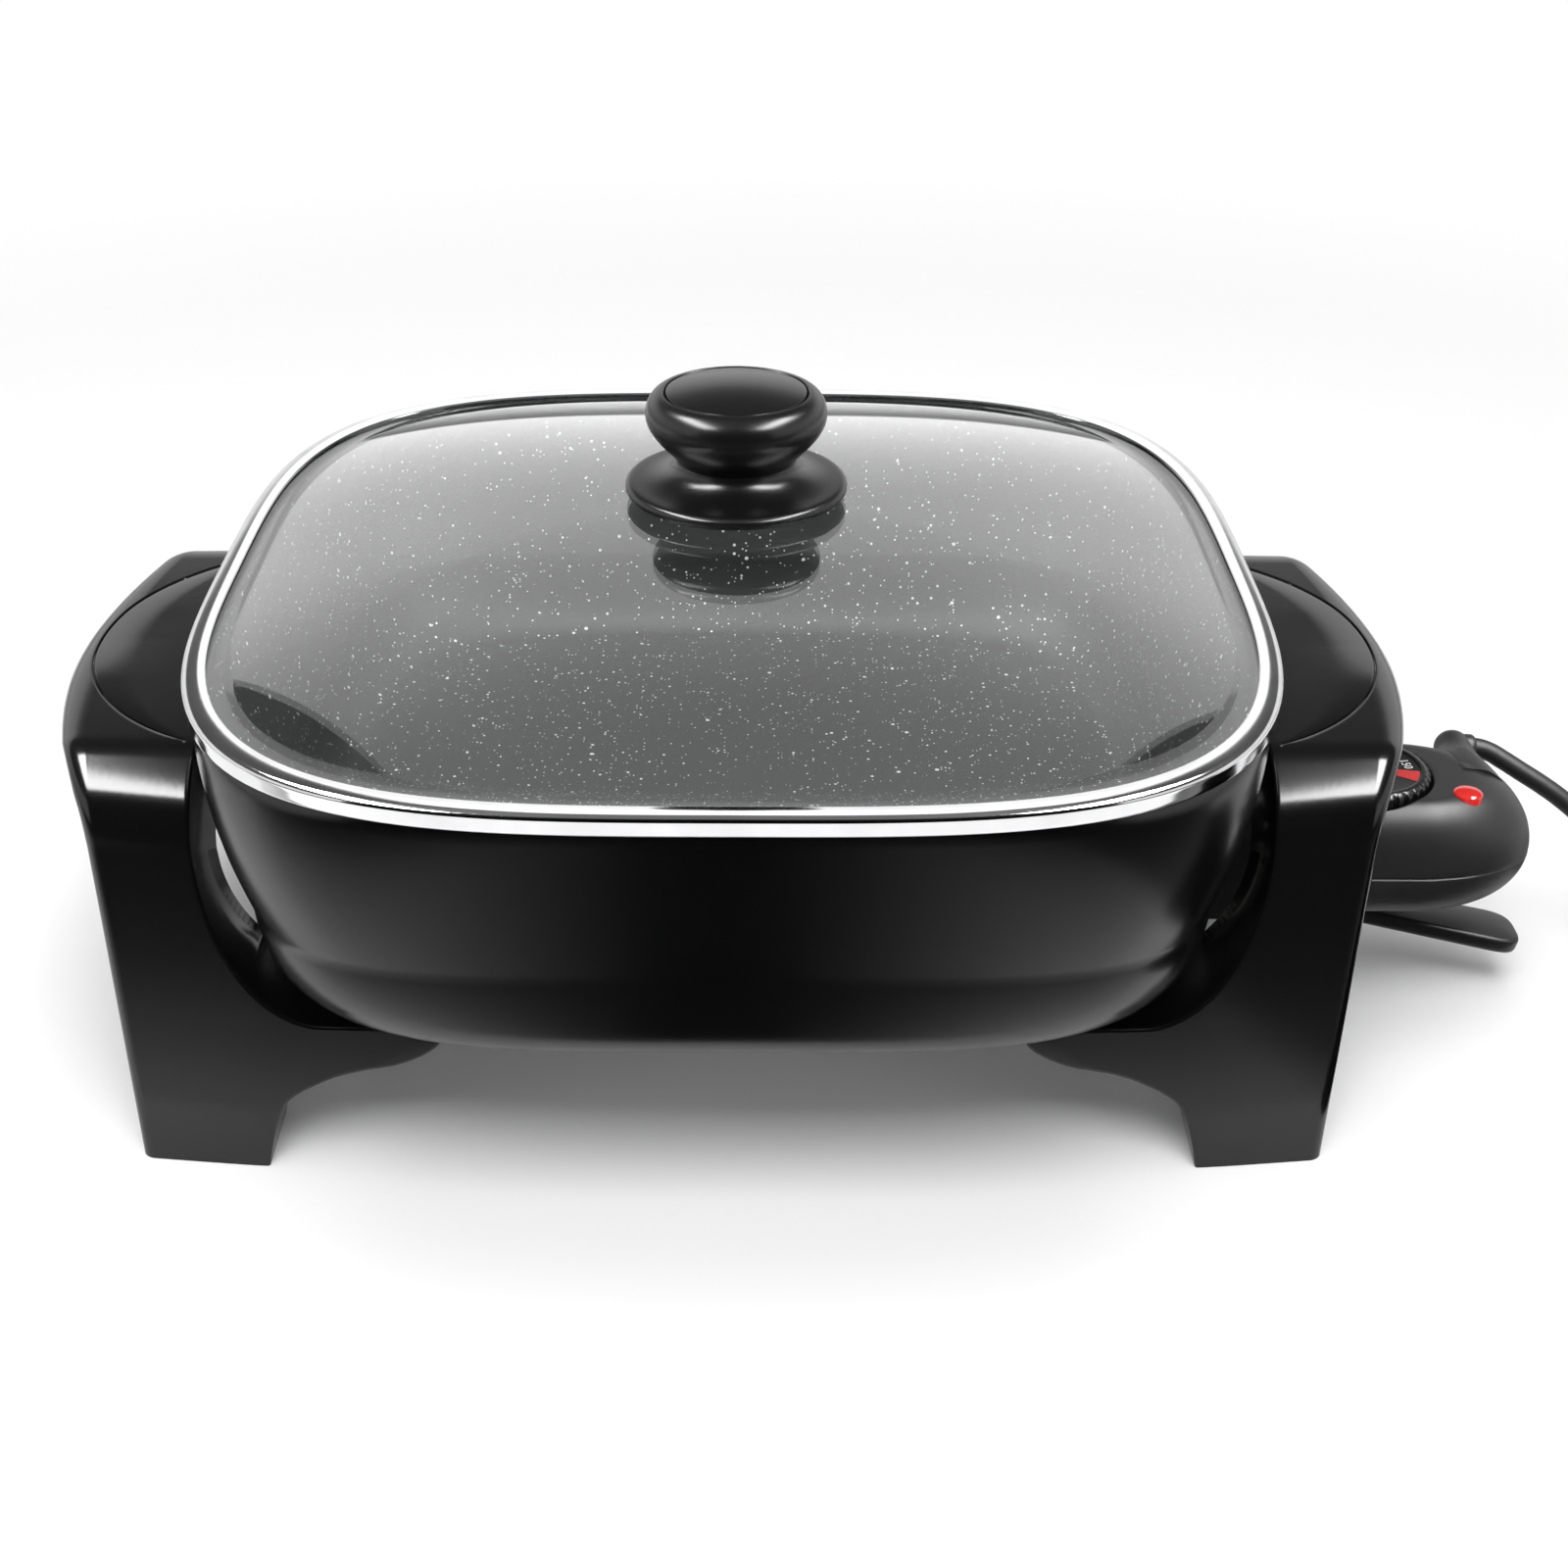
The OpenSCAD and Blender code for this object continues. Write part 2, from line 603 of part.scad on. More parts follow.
// Grip: waisted below, widest near the top, with a seat for the cap and a blind bore
module knob_grip() {
    n = neck_d / 2;
    r = knob_d / 2;
    seat = cap_d / 2 + 0.3;
    color("#161617") shifted() turned(concat(
        [[0, insert_l + 1], [insert_d / 2, insert_l + 1], [insert_d / 2, 0], [n, 0]],
        [for (i = [1:6]) let (t = i / 6)
            [mix(n, r, sin(90 * t)), mix(0, knob_h * 0.68, pow(t, 0.9))]],
        [for (i = [1:4]) let (a = 90 * i / 4)
            [seat + (r - seat) * cos(a), knob_h * (0.68 + 0.32 * sin(a))]],
        [[seat, knob_h - 2.2], [0, knob_h - 2.2]]), [0, 0, neck_z]);
}

module knob_cap() {
    r = cap_d / 2;
    color("#0d0d0e") shifted() turned(concat(
        [[0, 0], [r, 0], [r, 2.2]],
        [for (i = [1:5]) let (a = 90 * i / 5) [r * cos(a), 2.2 + cap_rise * sin(a)]]),
        [0, 0, knob_top_z - 2.2]);
}

module knob_insert() {
    color("#b48a3c") shifted() translate([0, 0, neck_z]) difference() {
        rod(insert_d, insert_l);
        translate([0, 0, -1]) rod(knob_screw_d, insert_l + 2);
    }
}

glass_under = apex_z - glass_t;
washer_t = 1.2;
module knob_seals() {
    color("#5a5a5c") shifted() {
        translate([0, 0, apex_z]) difference() {
            rod(seal_d, seal_t);
            translate([0, 0, -1]) rod(glass_hole_d, seal_t + 2);
        }
        translate([0, 0, glass_under - seal_t]) difference() {
            rod(seal_d - 4, seal_t);
            translate([0, 0, -1]) rod(glass_hole_d, seal_t + 2);
        }
    }
}

module knob_washer() {
    color("#c2c2c4") shifted() translate([0, 0, glass_under - seal_t - washer_t]) difference() {
        rod(seal_d - 6, washer_t);
        translate([0, 0, -1]) rod(knob_screw_d + 0.4, washer_t + 2);
    }
}

module knob_screw() {
    head_z = glass_under - seal_t - washer_t;
    color("#c2c2c4") shifted() translate([0, 0, head_z])
        screw(knob_screw_d, neck_z + insert_l - 1 - head_z);
}

// ---- Heat control housing --------------------------------------------------------------------

// Plan outline of the housing: blunt towards the pan, round behind
function egg(front, back, half, z) = [for (i = [0:egg_n - 1])
    let (t = 360 * i / egg_n, c = cos(t), s = sin(t), power = c < 0 ? 5 : 2.3)
    [control_x + (c < 0 ? front : back) * bent(c, power),
        socket_y + half * bent(s, power), z]];

// Rings from the seam to the closed end; f is +1 for the cover and -1 for the base
function shell_rings(f, h, crown_back, crown_half, inset) =
    [for (a = [0, 15, 35, 55, 75, 90])
        egg(control_front - 2 * (1 - cos(a)) - inset,
            mix(crown_back, control_back, cos(a)) - inset,
            mix(crown_half, control_half_w, cos(a)) - inset,
            seam_z + f * (h - inset) * sin(a))];

crown_back = 22;
crown_half = 18;
keel_back = 24;
keel_half = 15;
cover_outside = shell_rings(1, cover_h, crown_back, crown_half, 0);
cover_inside = shell_rings(1, cover_h, crown_back, crown_half, control_wall);
base_outside = shell_rings(-1, base_h, keel_back, keel_half, 0);
base_inside = shell_rings(-1, base_h, keel_back, keel_half, control_wall);

cover_top = seam_z + cover_h;
base_low = seam_z - base_h;
dial_x = control_x - 10;
dial_sink = 5.6;
dial_z = cover_top - dial_sink;
dial_seat_d = dial_d + 1.6;
lens_at = [control_x + 20, socket_y - 14];
lens_flange_t = 1.2;
lens_flange_d = lens_d + 2.4;
lens_low = cover_top - control_wall - 3;
block_w = 48;
block_h = 17;
block_front = 158;
block_back = control_x - control_front + 7;
control_screw_d = 3;
control_screw_boss = 7;
control_screw_at = [[control_x - 25, 22], [control_x - 25, -22], [control_x + 31, -4]];
control_screw_z = seam_z - 13;

module each_control_screw(z) {
    for (p = control_screw_at) translate([p[0], socket_y + p[1], z]) children();
}

// The contact block's outline along X, grown by the given play
module block_outline(x0, x1, play, w = block_w, h = block_h) {
    translate([x0, socket_y - w / 2 - play, axis_z - h / 2 - play])
        cube([x1 - x0, w + 2 * play, h + 2 * play]);
}

// Round tray that the dial turns in, cut to the cover's outside
module dial_tray() {
    intersection() {
        translate([dial_x, socket_y, dial_z - control_wall])
            rod(dial_seat_d + 2 * control_wall, dial_sink + control_wall - 1);
        skin(cover_outside);
    }
}

module control_cover() {
    color("#1b1b1c") shifted() difference() {
        union() {
            skin(concat(backwards(cover_inside), cover_outside));
            dial_tray();
            intersection() {
                each_control_screw(seam_z) rod(control_screw_boss, cover_h);
                skin(cover_outside);
            }
        }
        translate([dial_x, socket_y, dial_z]) rod(dial_seat_d, 20);
        translate([dial_x, socket_y, dial_z - 10]) rod(dial_shaft_d + 0.4, 20);
        translate([lens_at[0], lens_at[1], lens_low]) {
            rod(lens_d, 20);
            translate([0, 0, -3]) rod(lens_flange_d + 0.2, lens_flange_t + 3);
        }
        each_control_screw(seam_z - 1) rod(control_screw_d, 11);
        block_outline(block_front, block_back + 0.2, 0.2);
        relief_neck(relief_d + 0.1);
    }
}

lug_t = 3;
lug_r = 5;
lug_gap = lever_w + 0.8;
module lever_lugs() {
    for (s = [-1, 1])
        translate([lever_pin_x, socket_y + s * (lug_gap + lug_t) / 2 - lug_t / 2, 0]) {
            translate([0, 0, lever_pin_z]) rod_y(2 * lug_r, lug_t);
            translate([-lug_r, 0, lever_pin_z])
                cube([2 * lug_r, lug_t, base_low - lever_pin_z + 1]);
        }
}

module control_base() {
    color("#1b1b1c") shifted() difference() {
        union() {
            skin(concat(backwards(base_outside), base_inside));
            lever_lugs();
            intersection() {
                each_control_screw(base_low) rod(control_screw_boss + 2, base_h);
                skin(backwards(base_outside));
            }
        }
        each_control_screw(base_low - 1) {
            rod(control_screw_d + 0.5, base_h + 2);
            rod(2 * control_screw_d + 0.8, control_screw_z - base_low + 1);
        }
        block_outline(block_front, block_back + 0.2, 0.2);
        translate([lever_pin_x, socket_y - 50, lever_pin_z]) rod_y(lever_pin_d, 100);
    }
}

module control_screws() {
    color("#9a9a9c") shifted() each_control_screw(control_screw_z)
        screw(control_screw_d, seam_z - control_screw_z + 9);
}

// ---- Inside the heat control -----------------------------------------------------------------

sleeve_d = 8;
sleeve_l = 18;
sleeve_x = block_front + 1.2;
sleeve_bore_d = pin_d + 0.4;
module contact_block() {
    color("#3a3430") shifted() difference() {
        union() {
            block_outline(block_front, block_back, 0);
            block_outline(block_back - 3, block_back, 0, block_w - 20, block_h + 5);
        }
        for (s = [-1, 1]) translate([0, socket_y + s * lead_y, axis_z]) {
            translate([block_front - 1, 0, 0]) rod_x(pin_d + 1, 5);
            translate([sleeve_x, 0, 0]) rod_x(sleeve_d + 0.1, 40);
        }
        translate([block_front - 1, socket_y, axis_z]) rod_x(probe_d, 60);
    }
}

module contact_sleeves() {
    color("#b48a3c") shifted() for (s = [-1, 1])
        translate([sleeve_x, socket_y + s * lead_y, axis_z]) difference() {
            union() {
                rod_x(sleeve_d, sleeve_l);
                rod_x(3, sleeve_l + 9);
            }
            translate([-1, 0, 0]) rod_x(sleeve_bore_d, sleeve_l - 1);
        }
}

probe_back_x = block_back + 3;
probe_wall = 0.7;
rod_x0 = probe_tip_x + 3;
thermostat_x = probe_back_x + 3;
module probe_tube() {
    color("#c9c9cb") shifted() translate([0, socket_y, axis_z]) difference() {
        union() {
            translate([probe_tip_x + probe_d / 2, 0, 0]) sphere(d = probe_d, $fn = fine);
            translate([probe_tip_x + probe_d / 2, 0, 0])
                rod_x(probe_d, probe_back_x - probe_tip_x - probe_d / 2);
        }
        translate([rod_x0, 0, 0]) rod_x(probe_d - 2 * probe_wall, 200);
    }
}

module sensing_rod() {
    color("#e6e0d2") shifted() translate([rod_x0, socket_y, axis_z])
        rod_x(probe_d - 2 * probe_wall - 1.2, thermostat_x - rod_x0);
}

thermostat_l = 30;
thermostat_w = 18;
blade_t = 0.8;
module thermostat() {
    h = axis_z + 2 - (base_low + control_wall);
    color("#e6e0d2") shifted() translate([thermostat_x, socket_y, base_low + control_wall]) union() {
        translate([0, -thermostat_w / 2, 0]) cube([thermostat_l, thermostat_w, h - 5]);
        translate([0, -thermostat_w / 2, h - 5]) cube([8, thermostat_w, 5]);
        translate([thermostat_l - 6, -thermostat_w / 2, h - 5]) cube([6, thermostat_w, 3]);
    }
}

blade_z = axis_z + 2;
module thermostat_blade() {
    color("#b48a3c") shifted() translate([thermostat_x, socket_y, blade_z]) union() {
        translate([0, -5, 0]) cube([thermostat_l, 10, blade_t]);
        translate([4, 0, 0]) rod(5, blade_t + 1);
        translate([thermostat_l - 3, 0, -2]) rod(4, 2.4);
    }
}

module dial_shaft() {
    z = blade_z + blade_t;
    color("#c9c9cb") shifted() translate([dial_x, socket_y, z]) union() {
        translate([0, 0, 0.1]) cylinder(d1 = 2, d2 = dial_shaft_d, h = 2, $fn = fine);
        translate([0, 0, 2.1]) rod(dial_shaft_d, dial_z + 4 - z - 2.1);
    }
}

// Dial: a fluted disc with a hub bore that the shaft fills
flutes = 36;
module dial() {
    r = dial_d / 2;
    color("#1b1b1c") shifted() translate([dial_x, socket_y, dial_z + 0.3]) difference() {
        union() {
            linear_extrude(dial_t - 1.6) difference() {
                circle(r = r, $fn = fine);
                for (i = [0:flutes - 1]) rotate(360 * i / flutes) translate([r + 0.35, 0])
                    circle(r = 0.9, $fn = 16);
            }
            translate([0, 0, dial_t - 1.6]) cylinder(r1 = r - 0.8, r2 = r - 2, h = 1.6, $fn = fine);
        }
        translate([0, 0, -1]) rod(dial_shaft_d, 4.7);
        translate([0, 0, dial_t - 0.5]) rod(2 * r - 7, 1);
    }
}

module indicator_lens() {
    r = lens_d / 2;
    color("#d8231f") shifted() turned(concat(
        [[0, 0], [lens_flange_d / 2, 0], [lens_flange_d / 2, lens_flange_t], [r, lens_flange_t]],
        [for (i = [0:4]) let (a = 90 * i / 4)
            [r * cos(a), cover_top - lens_low + 1.4 * sin(a)]]),
        [lens_at[0], lens_at[1], lens_low]);
}

lamp_d = 5.4;
lamp_l = 15;
module indicator_lamp() {
    color("#ff9a66") shifted() translate([lens_at[0], lens_at[1], lens_low - lamp_l]) union() {
        rod(lamp_d, lamp_l - lamp_d / 2);
        translate([0, 0, lamp_l - lamp_d / 2]) sphere(d = lamp_d, $fn = fine);
    }
}

// ---- Release lever ---------------------------------------------------------------------------

lever_eye_d = 7;
lever_press = 9;
nose_h = 10;
nose_gap = nose_h * sin(lever_press) + 0.3;
nose_x = guard_back_x + guard_reach + nose_gap;
nose_t = 2.6;

// Plan of the lever: straight by the pin, wider and round at the finger end
lever_taper = 1.5;
module lever_plan() {
    l = lever_length / cos(lever_slope) - lever_w / 2;
    r = lever_w / 2;
    polygon([[0, lever_taper - r], [l, -r], [l, r], [0, r - lever_taper]]);
    translate([l, 0]) circle(r = r, $fn = fine);
}

module release_lever() {
    color("#242426") shifted() translate([lever_pin_x, socket_y, lever_pin_z]) difference() {
        union() {
            rotate([0, lever_slope, 0]) translate([0, 0, -lever_t / 2])
                linear_extrude(lever_t) lever_plan();
            translate([0, -lever_w / 2, 0]) rod_y(lever_eye_d, lever_w);
            translate([nose_x - lever_pin_x, 3 - lever_w / 2, -2])
                cube([lever_pin_x - nose_x, lever_w - 6, 4]);
            translate([nose_x - lever_pin_x, 3 - lever_w / 2, -2])
                cube([nose_t, lever_w - 6, nose_h + 2]);
        }
        translate([0, -lever_w, 0]) rod_y(lever_pin_d + 0.2, 2 * lever_w);
    }
}

module lever_pin() {
    l = lug_gap + 2 * lug_t;
    color("#b9b9b4") shifted() translate([lever_pin_x, socket_y - l / 2, lever_pin_z])
        rod_y(lever_pin_d, l);
}

// Compression spring between the lever and the housing
spring_reach = 26;
spring_x = lever_pin_x + spring_reach;
spring_r = 3.4;
spring_turns = 3;
spring_wire = 0.8;
spring_low = lever_pin_z - spring_reach * tan(lever_slope) + lever_t / 2 / cos(lever_slope) + 1.4;
spring_high = base_low - spring_wire / 2 - 0.1;
module lever_spring() {
    steps = 10;
    color("#b9b9b4") shifted() tube([for (i = [0:spring_turns * steps])
        let (t = i / steps, a = 360 * t)
        [spring_x + spring_r * cos(a), socket_y + spring_r * sin(a),
            mix(spring_low, spring_high, t / spring_turns)]], spring_wire / 2, 6);
}

// ---- Strain relief and cord ------------------------------------------------------------------

relief_d = 12;
relief_at = [242.5, 27, 72.5];
relief_root_y = 5;
mouth_l = 7.5;

// The neck runs out behind the housing and ends in a round head
module relief_neck(d) {
    translate([relief_at[0], relief_root_y, relief_at[2]]) rod_y(d, relief_at[1] - relief_root_y);
    translate(relief_at) sphere(d = d, $fn = fine);
}

module strain_relief() {
    color("#1a1a1b") shifted() difference() {
        union() {
            relief_neck(relief_d);
            translate(relief_at) rod_x(cord_d + 2.6, mouth_l);
        }
        translate([relief_at[0] + mouth_l - 2.5, relief_at[1], relief_at[2]]) rod_x(cord_d + 0.1, 9);
    }
}

// The cord's way from the strain relief down to the table, where it runs into the coil
cord_route = [[247.8, 27, 72.5], [250.5, 27, 72.5], [255, 26.2, 71.4], [260, 24.4, 69],
    [266, 22.2, 65.8], [273, 19.8, 62], [280, 17.4, 57.6], [287, 15, 52], [293, 12.6, 45],
    [298, 10, 37], [302, 7, 28.5], [306.5, 3.6, 20], [312.5, 0.2, 12.4], [320.5, -2.6, 6.8],
    [329, -4, 4], [338, -4.5, 3.3], [347, -4.5, 3.3]];
coil_at = [347, 35];
coil_mid_r = 36;
tail_route = [[383, 56, 9], [383.4, 64, 8.6], [383.7, 71, 7.2], [384, 78, 6], [384, 86, 5.5],
    [384, 94.7, 5.5]];

module cord() { color("#19191a") shifted() tube(cord_route, cord_d / 2, 10); }
module cord_tail() { color("#19191a") shifted() tube(tail_route, cord_d / 2, 10); }

module cord_coil() {
    half = cord_d;
    color("#19191a") shifted() translate([coil_at[0], coil_at[1], 0])
        rotate_extrude($fn = fine) translate([coil_mid_r - half, 0])
            polygon([[1.5, 0], [2 * half - 1.5, 0], [2 * half, 1.5], [2 * half, 7.5],
                [2 * half - 3, 12.4], [3, 12.4], [0, 7.5], [0, 1.5]]);
}

plug_l = 30;
plug_w = 24;
plug_t = 11;
plug_at = [384, 106, plug_t / 2];
module plug() {
    color("#1b1b1c") shifted() translate(plug_at) difference() {
        union() {
            translate([0, 0, -plug_t / 2]) linear_extrude(plug_t)
                polygon([[-5, 0], [5, 0], [plug_w / 2, 10], [plug_w / 2, plug_l],
                    [-plug_w / 2, plug_l], [-plug_w / 2, 10]]);
            translate([0, -12, 0]) rotate([-90, 0, 0])
                cylinder(d1 = cord_d + 1.6, d2 = 10, h = 13, $fn = fine);
        }
        translate([0, -13, 0]) rod_y(cord_d + 0.1, 2);
    }
}

blade_pitch = 12.7;
module plug_blades() {
    color("#c9b46a") shifted() for (s = [-1, 1])
        translate([plug_at[0] + s * blade_pitch / 2 - 0.75, plug_at[1] + plug_l,
            plug_at[2] - (s < 0 ? 6.3 : 7.9) / 2])
            cube([1.5, 17, s < 0 ? 6.3 : 7.9]);
}

pan();
heating_element();
terminal_pins();
terminal_bushes();
terminal_guard();
guard_screws();
handle_left();
handle_right();
handle_screws();
lid_glass();
lid_rim();
knob_base();
knob_grip();
knob_cap();
knob_insert();
knob_seals();
knob_washer();
knob_screw();
control_base();
control_cover();
control_screws();
contact_block();
contact_sleeves();
probe_tube();
sensing_rod();
thermostat();
thermostat_blade();
indicator_lamp();
indicator_lens();
dial();
dial_shaft();
release_lever();
lever_pin();
lever_spring();
strain_relief();
cord();
cord_coil();
cord_tail();
plug();
plug_blades();
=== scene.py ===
"""Electric skillet: square pan on two handle mouldings, glass lid, knob and plug-in heat control.

Sizes are in millimetres about the middle of the pan, with the table at zero; in_frame makes
them metres in the shared frame.
"""
import math

import bpy
import numpy as np
from mathutils import Matrix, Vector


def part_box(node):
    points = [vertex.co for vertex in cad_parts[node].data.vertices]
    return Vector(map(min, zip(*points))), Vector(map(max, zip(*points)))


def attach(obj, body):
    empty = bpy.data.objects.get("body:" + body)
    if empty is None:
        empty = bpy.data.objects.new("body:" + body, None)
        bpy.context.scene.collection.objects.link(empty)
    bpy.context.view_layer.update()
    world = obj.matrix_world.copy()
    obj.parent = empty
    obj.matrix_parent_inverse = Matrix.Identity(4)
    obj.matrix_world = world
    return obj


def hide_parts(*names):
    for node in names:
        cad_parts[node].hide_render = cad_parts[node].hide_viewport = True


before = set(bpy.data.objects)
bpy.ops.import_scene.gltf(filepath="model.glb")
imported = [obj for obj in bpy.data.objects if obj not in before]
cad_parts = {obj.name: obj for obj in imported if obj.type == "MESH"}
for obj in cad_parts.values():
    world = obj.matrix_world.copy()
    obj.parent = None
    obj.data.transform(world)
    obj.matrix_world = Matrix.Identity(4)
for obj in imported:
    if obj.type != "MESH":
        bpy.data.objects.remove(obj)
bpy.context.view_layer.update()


# ---- Camera ----------------------------------------------------------------------------------
# The skillet is seen from in front, from a little above the lid, with a normal lens.

pan_low, pan_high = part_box("pan")
middle_x = (pan_low.x + pan_high.x) / 2


def in_frame(points):
    """Millimetres about the pan's middle made metres in the shared frame."""
    return np.asarray(points, dtype=float) / 1000.0 + np.array([middle_x, 0.0, 0.0])


def place_camera(position, down, turn, roll, lens):
    """Looks along +Y, turned towards +X, tipped down and rolled, all in degrees."""
    d, t, r = np.radians([down, turn, roll])
    ahead = np.array([np.sin(t) * np.cos(d), np.cos(t) * np.cos(d), -np.sin(d)])
    level = np.array([np.cos(t), -np.sin(t), 0.0])
    above = np.cross(level, ahead)
    right = level * np.cos(r) + above * np.sin(r)
    up = above * np.cos(r) - level * np.sin(r)
    camera = bpy.data.cameras.new("camera")
    camera.lens = lens
    camera.sensor_width = 36.0
    camera.clip_start = 0.01
    camera.clip_end = 50.0
    holder = bpy.data.objects.new("camera", camera)
    bpy.context.scene.collection.objects.link(holder)
    turned = Matrix([[right[i], up[i], -ahead[i]] for i in range(3)]).to_4x4()
    turned.translation = position
    holder.matrix_world = turned
    bpy.context.scene.camera = holder


place_camera(in_frame([7.7, -661.3, 442.3]), 29.22, 0.67, 0.539, 52.94)


# ---- Cord ------------------------------------------------------------------------------------
# A round two-core mains lead in black rubber, 6.6 mm thick. It leaves the neck of the heat
# control, falls to the table and is wound into a coil beside the skillet.

cord_d = 6.6
cord_r = cord_d / 2
coil_middle = (347.0, 35.0)


def linked(name, data, body):
    """Puts new data in the scene as an object that rides on a body."""
    piece = bpy.data.objects.new(name, data)
    bpy.context.scene.collection.objects.link(piece)
    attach(piece, body)
    return piece


def ease(x, start, end):
    """0 before start, 1 after end, and a smooth step between them."""
    t = np.clip((np.asarray(x, dtype=float) - start) / (end - start), 0.0, 1.0)
    return t * t * (3.0 - 2.0 * t)


def coil_turns():
    """Turn angle t gives radius and height: an outer turn, an inner one, then up on both."""
    step = 15
    t = np.arange(step, 811.0 - step, step)
    radius = 39.5 - 6.75 * ease(t, 265, 360) + 3.3 * ease(t, 630, 720)
    height = 3.3 + 6.75 * ease(t, 590, 675) - 0.7 * ease(t, 700, 740) + 0.4 * ease(t, 780, 810)
    a = np.radians(t - 90)
    return np.stack([coil_middle[0] + radius * np.cos(a), coil_middle[1] + radius * np.sin(a),
                     height], axis=1)


fall = [[247.8, 27, 72.5], [250.5, 27, 72.5], [255, 26.2, 71.4], [260, 24.4, 69],
        [266, 22.2, 65.8], [273, 19.8, 62], [280, 17.4, 57.6], [287, 15, 52], [293, 12.6, 45],
        [298, 10, 37], [302, 7, 28.5], [306.5, 3.6, 20], [312.5, 0.2, 12.4],
        [320.5, -2.6, 6.8], [329, -4, 4], [338, -4.5, 3.3], [347, -4.5, 3.3]]
tail = [[383.2, 44, 9.8], [383, 56, 9.4], [383.4, 64, 8.6], [383.7, 71, 7.2], [384, 78, 6],
        [384, 86, 5.5], [384, 94.7, 5.5]]
cord_way = in_frame(np.concatenate([fall, coil_turns(), tail]))


def make_cord(name, points, thickness, body):
    """A round tube along a smooth curve through the points, closed at both ends."""
    curve = bpy.data.curves.new(name, "CURVE")
    curve.dimensions = "3D"
    curve.bevel_depth = thickness / 2
    curve.bevel_resolution = 6
    curve.resolution_u = 5
    curve.use_fill_caps = True
    line = curve.splines.new("BEZIER")
    line.bezier_points.add(len(points) - 1)
    line.bezier_points.foreach_set("co", points.ravel())
    for point in line.bezier_points:
        point.handle_left_type = "AUTO"
        point.handle_right_type = "AUTO"
    return linked(name, curve, body)


cord = make_cord("mains_cord", cord_way, cord_d / 1000, "control")
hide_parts("cord", "cord_coil", "cord_tail")


# ---- Tie round the coil ----------------------------------------------------------------------
# A short black rubber band that holds the two turns of the coil side by side.

def mesh_piece(name, points, faces, body, smooth=True, sharp=35.0):
    """A mesh object from points in millimetres and faces; edges over the angle stay crisp."""
    mesh = bpy.data.meshes.new(name)
    mesh.from_pydata(in_frame(points).tolist(), [], faces)
    mesh.validate()
    mesh.update()
    if smooth:
        mesh.shade_smooth()
        mesh.set_sharp_from_angle(angle=math.radians(sharp))
    return linked(name, mesh, body)


def ring_faces(rings, around, loop):
    """Quads between neighbouring rings of points; loop joins the last ring to the first."""
    i = np.arange(rings if loop else rings - 1)[:, None]
    j = np.arange(around)[None, :]
    k = (i + 1) % rings
    m = (j + 1) % around
    return np.stack([i * around + j, i * around + m, k * around + m, k * around + j],
                    axis=-1).reshape(-1, 4)


def outward(points, faces):
    """Turns the faces round where the volume they enclose comes out negative."""
    volume = 0.0
    for size in {len(f) for f in faces}:
        same = np.array([f for f in faces if len(f) == size])
        a = points[same[:, 0]]
        for n in range(1, size - 1):
            b = points[same[:, n]]
            c = points[same[:, n + 1]]
            volume += np.einsum("ij,ij->i", a, np.cross(b, c)).sum()
    return [f[::-1] for f in faces] if volume < 0 else faces


def full_turn(steps):
    """Angles of a full turn in even steps, from 0."""
    return np.linspace(0, 2 * np.pi, steps, endpoint=False)


def skin(rings, loop=False, fans=True):
    """Points and faces of a closed surface over a stack of rings [ring, place, xyz].

    Each ring is joined to the next. A loop joins the last to the first; otherwise each end is
    closed by a fan to its own middle, or by one flat face.
    """
    rings = np.asarray(rings, dtype=float)
    count, around = rings.shape[:2]
    points = rings.reshape(-1, 3)
    faces = ring_faces(count, around, loop).tolist()
    if not loop:
        last = (count - 1) * around
        if fans:
            points = np.concatenate([points, [rings[0].mean(axis=0)], [rings[-1].mean(axis=0)]])
            a = count * around
            faces += [[a, (j + 1) % around, j] for j in range(around)]
            faces += [[a + 1, last + j, last + (j + 1) % around] for j in range(around)]
        else:
            faces += [list(range(around))[::-1]]
            faces += [list(range(last, last + around))]
    return points, outward(points, faces)


def tie_band(angle, width, thick):
    """A flat band swept round two cord turns: a stadium outline with a flat sole.

    It crosses the coil where its two turns lie 36.15 mm out on average, 6.7 mm apart.
    """
    a = np.radians(angle)
    out = np.array([np.cos(a), np.sin(a), 0.0])
    along = np.array([-np.sin(a), np.cos(a), 0.0])
    t = full_turn(64)
    middle = np.array([*coil_middle, cord_r]) + 36.15 * out
    reach = cord_r + thick
    side = np.sign(np.cos(t)) * 3.35 + reach * np.cos(t)
    rise = np.maximum(reach * np.sin(t), -3.25)
    edge = np.array([[-width / 2, -0.8], [-width / 2, -0.25], [-width / 2 + 0.3, 0],
                     [width / 2 - 0.3, 0], [width / 2, -0.25], [width / 2, -0.8]])
    rings = []
    for place, inset in edge:
        shrink = 1 + inset / reach
        rings.append(middle + np.outer(side * shrink, out)
                     + np.outer(rise * shrink, [0, 0, 1]) + place * along)
    return skin(rings)


tie = mesh_piece("cord_tie", *tie_band(100, 7.0, 0.7), "control")


# ---- Plug ------------------------------------------------------------------------------------
# The moulded plug at the cord's far end, soft black plastic with a ribbed waist and a tapered
# sleeve; its two brass blades are the solids of the frame.

plug_at = np.array([384.0, 106.0, 5.5])


def section_rings(stations):
    """Superellipse sections along Y: each station is [y, half width, half height, power]."""
    around = 64
    a = full_turn(around)
    c = np.cos(a)
    s = np.sin(a)
    rings = []
    for y, wide, high, p in stations:
        r = (np.abs(c) ** p + np.abs(s) ** p) ** (-1 / p)
        rings.append(np.stack([wide * r * c, np.full(around, y), high * r * s], axis=1))
    return np.array(rings)


